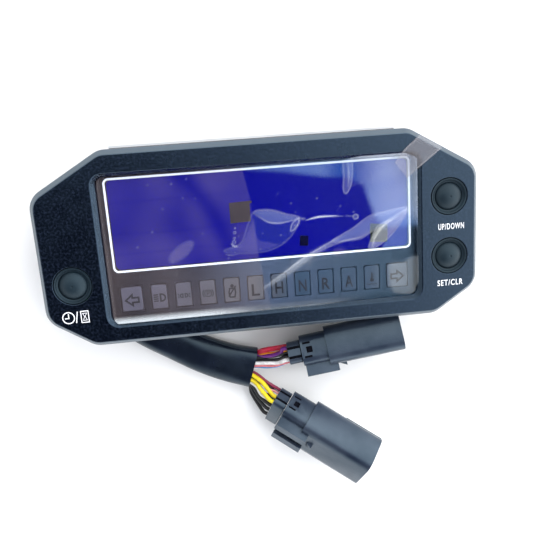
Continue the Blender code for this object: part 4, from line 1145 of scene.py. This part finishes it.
def wire_finish(name):
    colour = WIRE_COLOURS.get(name) or WIRE_COLOURS[name.split("_")[0]]
    dark, light = [0.8 * c for c in colour], [min(1, 1.1 * c) for c in colour]
    finish = Finish(f"wire_{name}", colour, 0.4).mottle(500.0, dark, light)
    return finish.worn(400.0, 0.3, 0.5).grain(2500.0, 0.01, 0.4)


def frames_along(path):
    """A side and an up vector for each point of a path that stays near the ground."""
    result = []
    for i, place in enumerate(path):
        ahead = path[min(i + 1, len(path) - 1)] - path[max(i - 1, 0)]
        ahead.normalize()
        side = Vector((0, 0, 1)).cross(ahead).normalized()
        result.append((place, side, ahead.cross(side).normalized()))
    return result


def sleeve():
    """The vinyl sleeve: round at the grommet, flatter and creased towards its open end."""
    finish = Finish("sleeve_vinyl", (0.004, 0.006, 0.014), 0.3, specular=0.6, tint=SLATE)
    finish.mottle(70.0, (0.003, 0.005, 0.011), (0.006, 0.009, 0.02))
    finish.worn(90.0, 0.2, 0.3).grain(160.0, 0.25, 0.35).grain(2600.0, 0.02, 0.3)
    path = catmull(SLEEVE_ROUTE, 9)
    frames = frames_along(path)
    rng = random.Random(5)
    phases = [rng.uniform(0, 6.28) for _ in range(3)]

    def ring(i, shrink):
        place, side, up = frames[i]
        s = i / (len(path) - 1)
        flat = min(1.0, s * 3.2)
        wide = SLEEVE_RADIUS + 2.6 * flat + 2.1 * s * s
        tall = SLEEVE_RADIUS - 0.45 * flat
        points = []
        for k in range(SLEEVE_SIDES):
            t = 2 * math.pi * k / SLEEVE_SIDES
            cos, sin = math.cos(t), math.sin(t)
            ripple = 0.22 * math.sin(3 * t + phases[0] + 9 * s) + 0.16 * math.sin(5 * t + phases[1] - 14 * s)
            ripple += 0.12 * math.sin(22 * s + phases[2] + 2 * t)
            reach_x = (wide - shrink) * math.copysign(abs(cos) ** 0.7, cos)
            reach_z = (tall - shrink) * math.copysign(abs(sin) ** 0.8, sin)
            swell = 1 + ripple * (0.25 + 0.75 * s) * abs(sin) / 7.0
            spot = place + side * reach_x * swell + up * reach_z * swell
            spot.z = max(spot.z, 0.25 + shrink)
            points.append(spot)
        return points

    outer = [ring(i, 0.0) for i in range(len(path))]
    inner = [ring(i, SLEEVE_WALL) for i in range(len(path) // 3, len(path))]
    closed_end = [p.lerp(path[0], 0.3) for p in outer[0]]
    bm = bmesh.new()
    loft(bm, [closed_end, *outer, *inner[::-1]])
    obj = made("harness_tube", bm, finish, replaces=["harness_sleeve"], sharp=60)


def connector_matrix(place, degrees):
    turn = Euler([math.radians(a) for a in degrees], "XYZ").to_matrix().to_4x4()
    return Matrix.Translation(Vector(place)) @ turn


def connector_shadows():
    """Painted shadow: dark plates in the snap slots and windows of the housings, and in the grooves of the
    caps, where only shade falls.
    """
    for name, placement in (("rear_connector", REAR_FRAME), ("front_connector", FRONT_FRAME)):
        matrix = connector_matrix(*placement)
        bm = bmesh.new()
        for *sides, face in CONNECTOR_SLOTS:
            corners = rectangle(*sides)
            loft(bm, [[matrix @ Vector((x, y, face - depth)) for x, y in corners] for depth in (0.85, 0.5)])
        made(f"{name}_painted_recess_shadows", bm, RECESS_PAINTED_SHADOW)


def branch(name, wires, place, degrees, node, housing):
    """The wires of one branch, from inside the sleeve to the cap of its connector."""
    matrix = connector_matrix(place, degrees)
    middle = Vector(SLEEVE_ROUTE[-1])
    for label, radius, *route, (row, column) in wires:
        seen = [Vector(spot) for spot in route]
        inside = seen[0].lerp(middle, 0.25) - SLEEVE_HEADING * 8.0
        deeper = seen[0].lerp(middle, 0.45) - SLEEVE_HEADING * 17.0
        entry = [matrix @ Vector((x, row, column)) for x in (-2.4, -0.2)]
        points = catmull([deeper, inside, *seen, *entry], 4)
        curve = bpy.data.curves.new(f"{name}_{label}", "CURVE")
        curve.dimensions = "3D"
        curve.bevel_depth = radius * MM
        curve.bevel_resolution = 4
        curve.use_fill_caps = True
        spline = curve.splines.new("POLY")
        spline.points.add(len(points) - 1)
        for knot, spot in zip(spline.points, points):
            knot.co = (*(spot * MM), 1.0)
        curve.materials.append(wire_finish(label).mat)
        obj = linked(f"{name}_{label}", curve)
        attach(obj, "root")
    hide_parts(node)


def wires():
    connector_shadows()
    branch("rear_wire", REAR_WIRES, *REAR_FRAME, "wires_rear", "rear_connector")
    branch("front_wire", FRONT_WIRES, *FRONT_FRAME, "wires_front", "front_connector")


# ---------------------------------------------------------------- stage, light and camera, in metres

FLOOR_HALF = 30.0
DARK_LOBE = (-0.26, -0.38, 0.89)
CAMERA_PLACE = (-0.01913, 0.041, 0.27462)
CAMERA_RIGHT = (0.99285, -0.06923, 0.09727)
CAMERA_UP = (0.08855, 0.97347, -0.21098)
CAMERA_BACK = (-0.08009, 0.21808, 0.97264)
LENS_LENGTH = 39.47


def stage():
    floor = Finish("paper_floor", (0.86, 0.87, 0.88), 0.7)
    floor.mottle(6.0, (0.84, 0.85, 0.87), (0.88, 0.885, 0.89))
    mesh = bpy.data.meshes.new("floor")
    corners = rectangle(-FLOOR_HALF, -FLOOR_HALF, FLOOR_HALF, FLOOR_HALF)
    mesh.from_pydata([(x, y, 0) for x, y in corners], [], [(0, 1, 2, 3)])
    mesh.materials.append(floor.mat)
    obj = linked("floor", mesh)


def softbox(name, place, aim, size, power):
    light = bpy.data.lights.new(name, "AREA")
    light.shape = "RECTANGLE"
    light.size, light.size_y = size
    light.energy = power
    obj = linked(name, light)
    obj.location = place
    obj.rotation_mode = "QUATERNION"
    obj.rotation_quaternion = (Vector(aim) - Vector(place)).to_track_quat("-Z", "Y")
    obj.visible_glossy = False


def light_scene():
    """A white room, brighter towards +X, with a dark patch that the face mirrors, and two softboxes."""
    world = bpy.data.worlds.new("studio")
    world.use_nodes = True
    nodes = Nodes(world.node_tree, "Generated")
    background = nodes.tree.nodes["Background"]
    dot = nodes.add("ShaderNodeVectorMath")
    dot.operation = "DOT_PRODUCT"
    dot.inputs[1].default_value = Vector(DARK_LOBE).normalized()
    nodes.link(nodes.place, dot.inputs[0])
    stops = [(0.69, NEUTRAL), (0.84, (0.6, 0.63, 0.7)), (0.88, (0.38, 0.41, 0.48))]
    stops.append((0.935, (0.003, 0.003, 0.006)))
    nodes.link(nodes.ramp(dot.outputs["Value"], stops), background.inputs["Color"])
    level = nodes.mapped(nodes.along("X"), From_Min=-1.0, To_Min=0.9, To_Max=2.75)
    nodes.link(level, background.inputs["Strength"])
    bpy.context.scene.world = world
    softbox("key_light", (0.25, 0.75, 0.75), (0.0, 0.0, 0.0), (0.6, 0.5), 6.0)
    softbox("fill_light", (0.75, -0.1, 0.85), (0.0, 0.0, 0.0), (0.5, 0.5), 2.0)


def photo_camera():
    data = bpy.data.cameras.new("camera")
    data.lens = LENS_LENGTH
    data.sensor_width = 36.0
    data.clip_start = 0.01
    camera = linked("camera", data)
    axes = [Vector(axis) for axis in (CAMERA_RIGHT, CAMERA_UP, CAMERA_BACK)]
    camera.rotation_mode = "QUATERNION"
    camera.rotation_quaternion = Matrix(axes).transposed().to_quaternion()
    camera.location = CAMERA_PLACE
    bpy.context.scene.camera = camera


photo_camera()
sleeve()
wires()
dress_nodes()
bezel()
lip_highlight_strips()
push_buttons()
frame_line()
labels()
symbols()
display_marks()
film()
film_tab()
stage()
light_scene()
bpy.context.scene.view_settings.view_transform = "Standard"
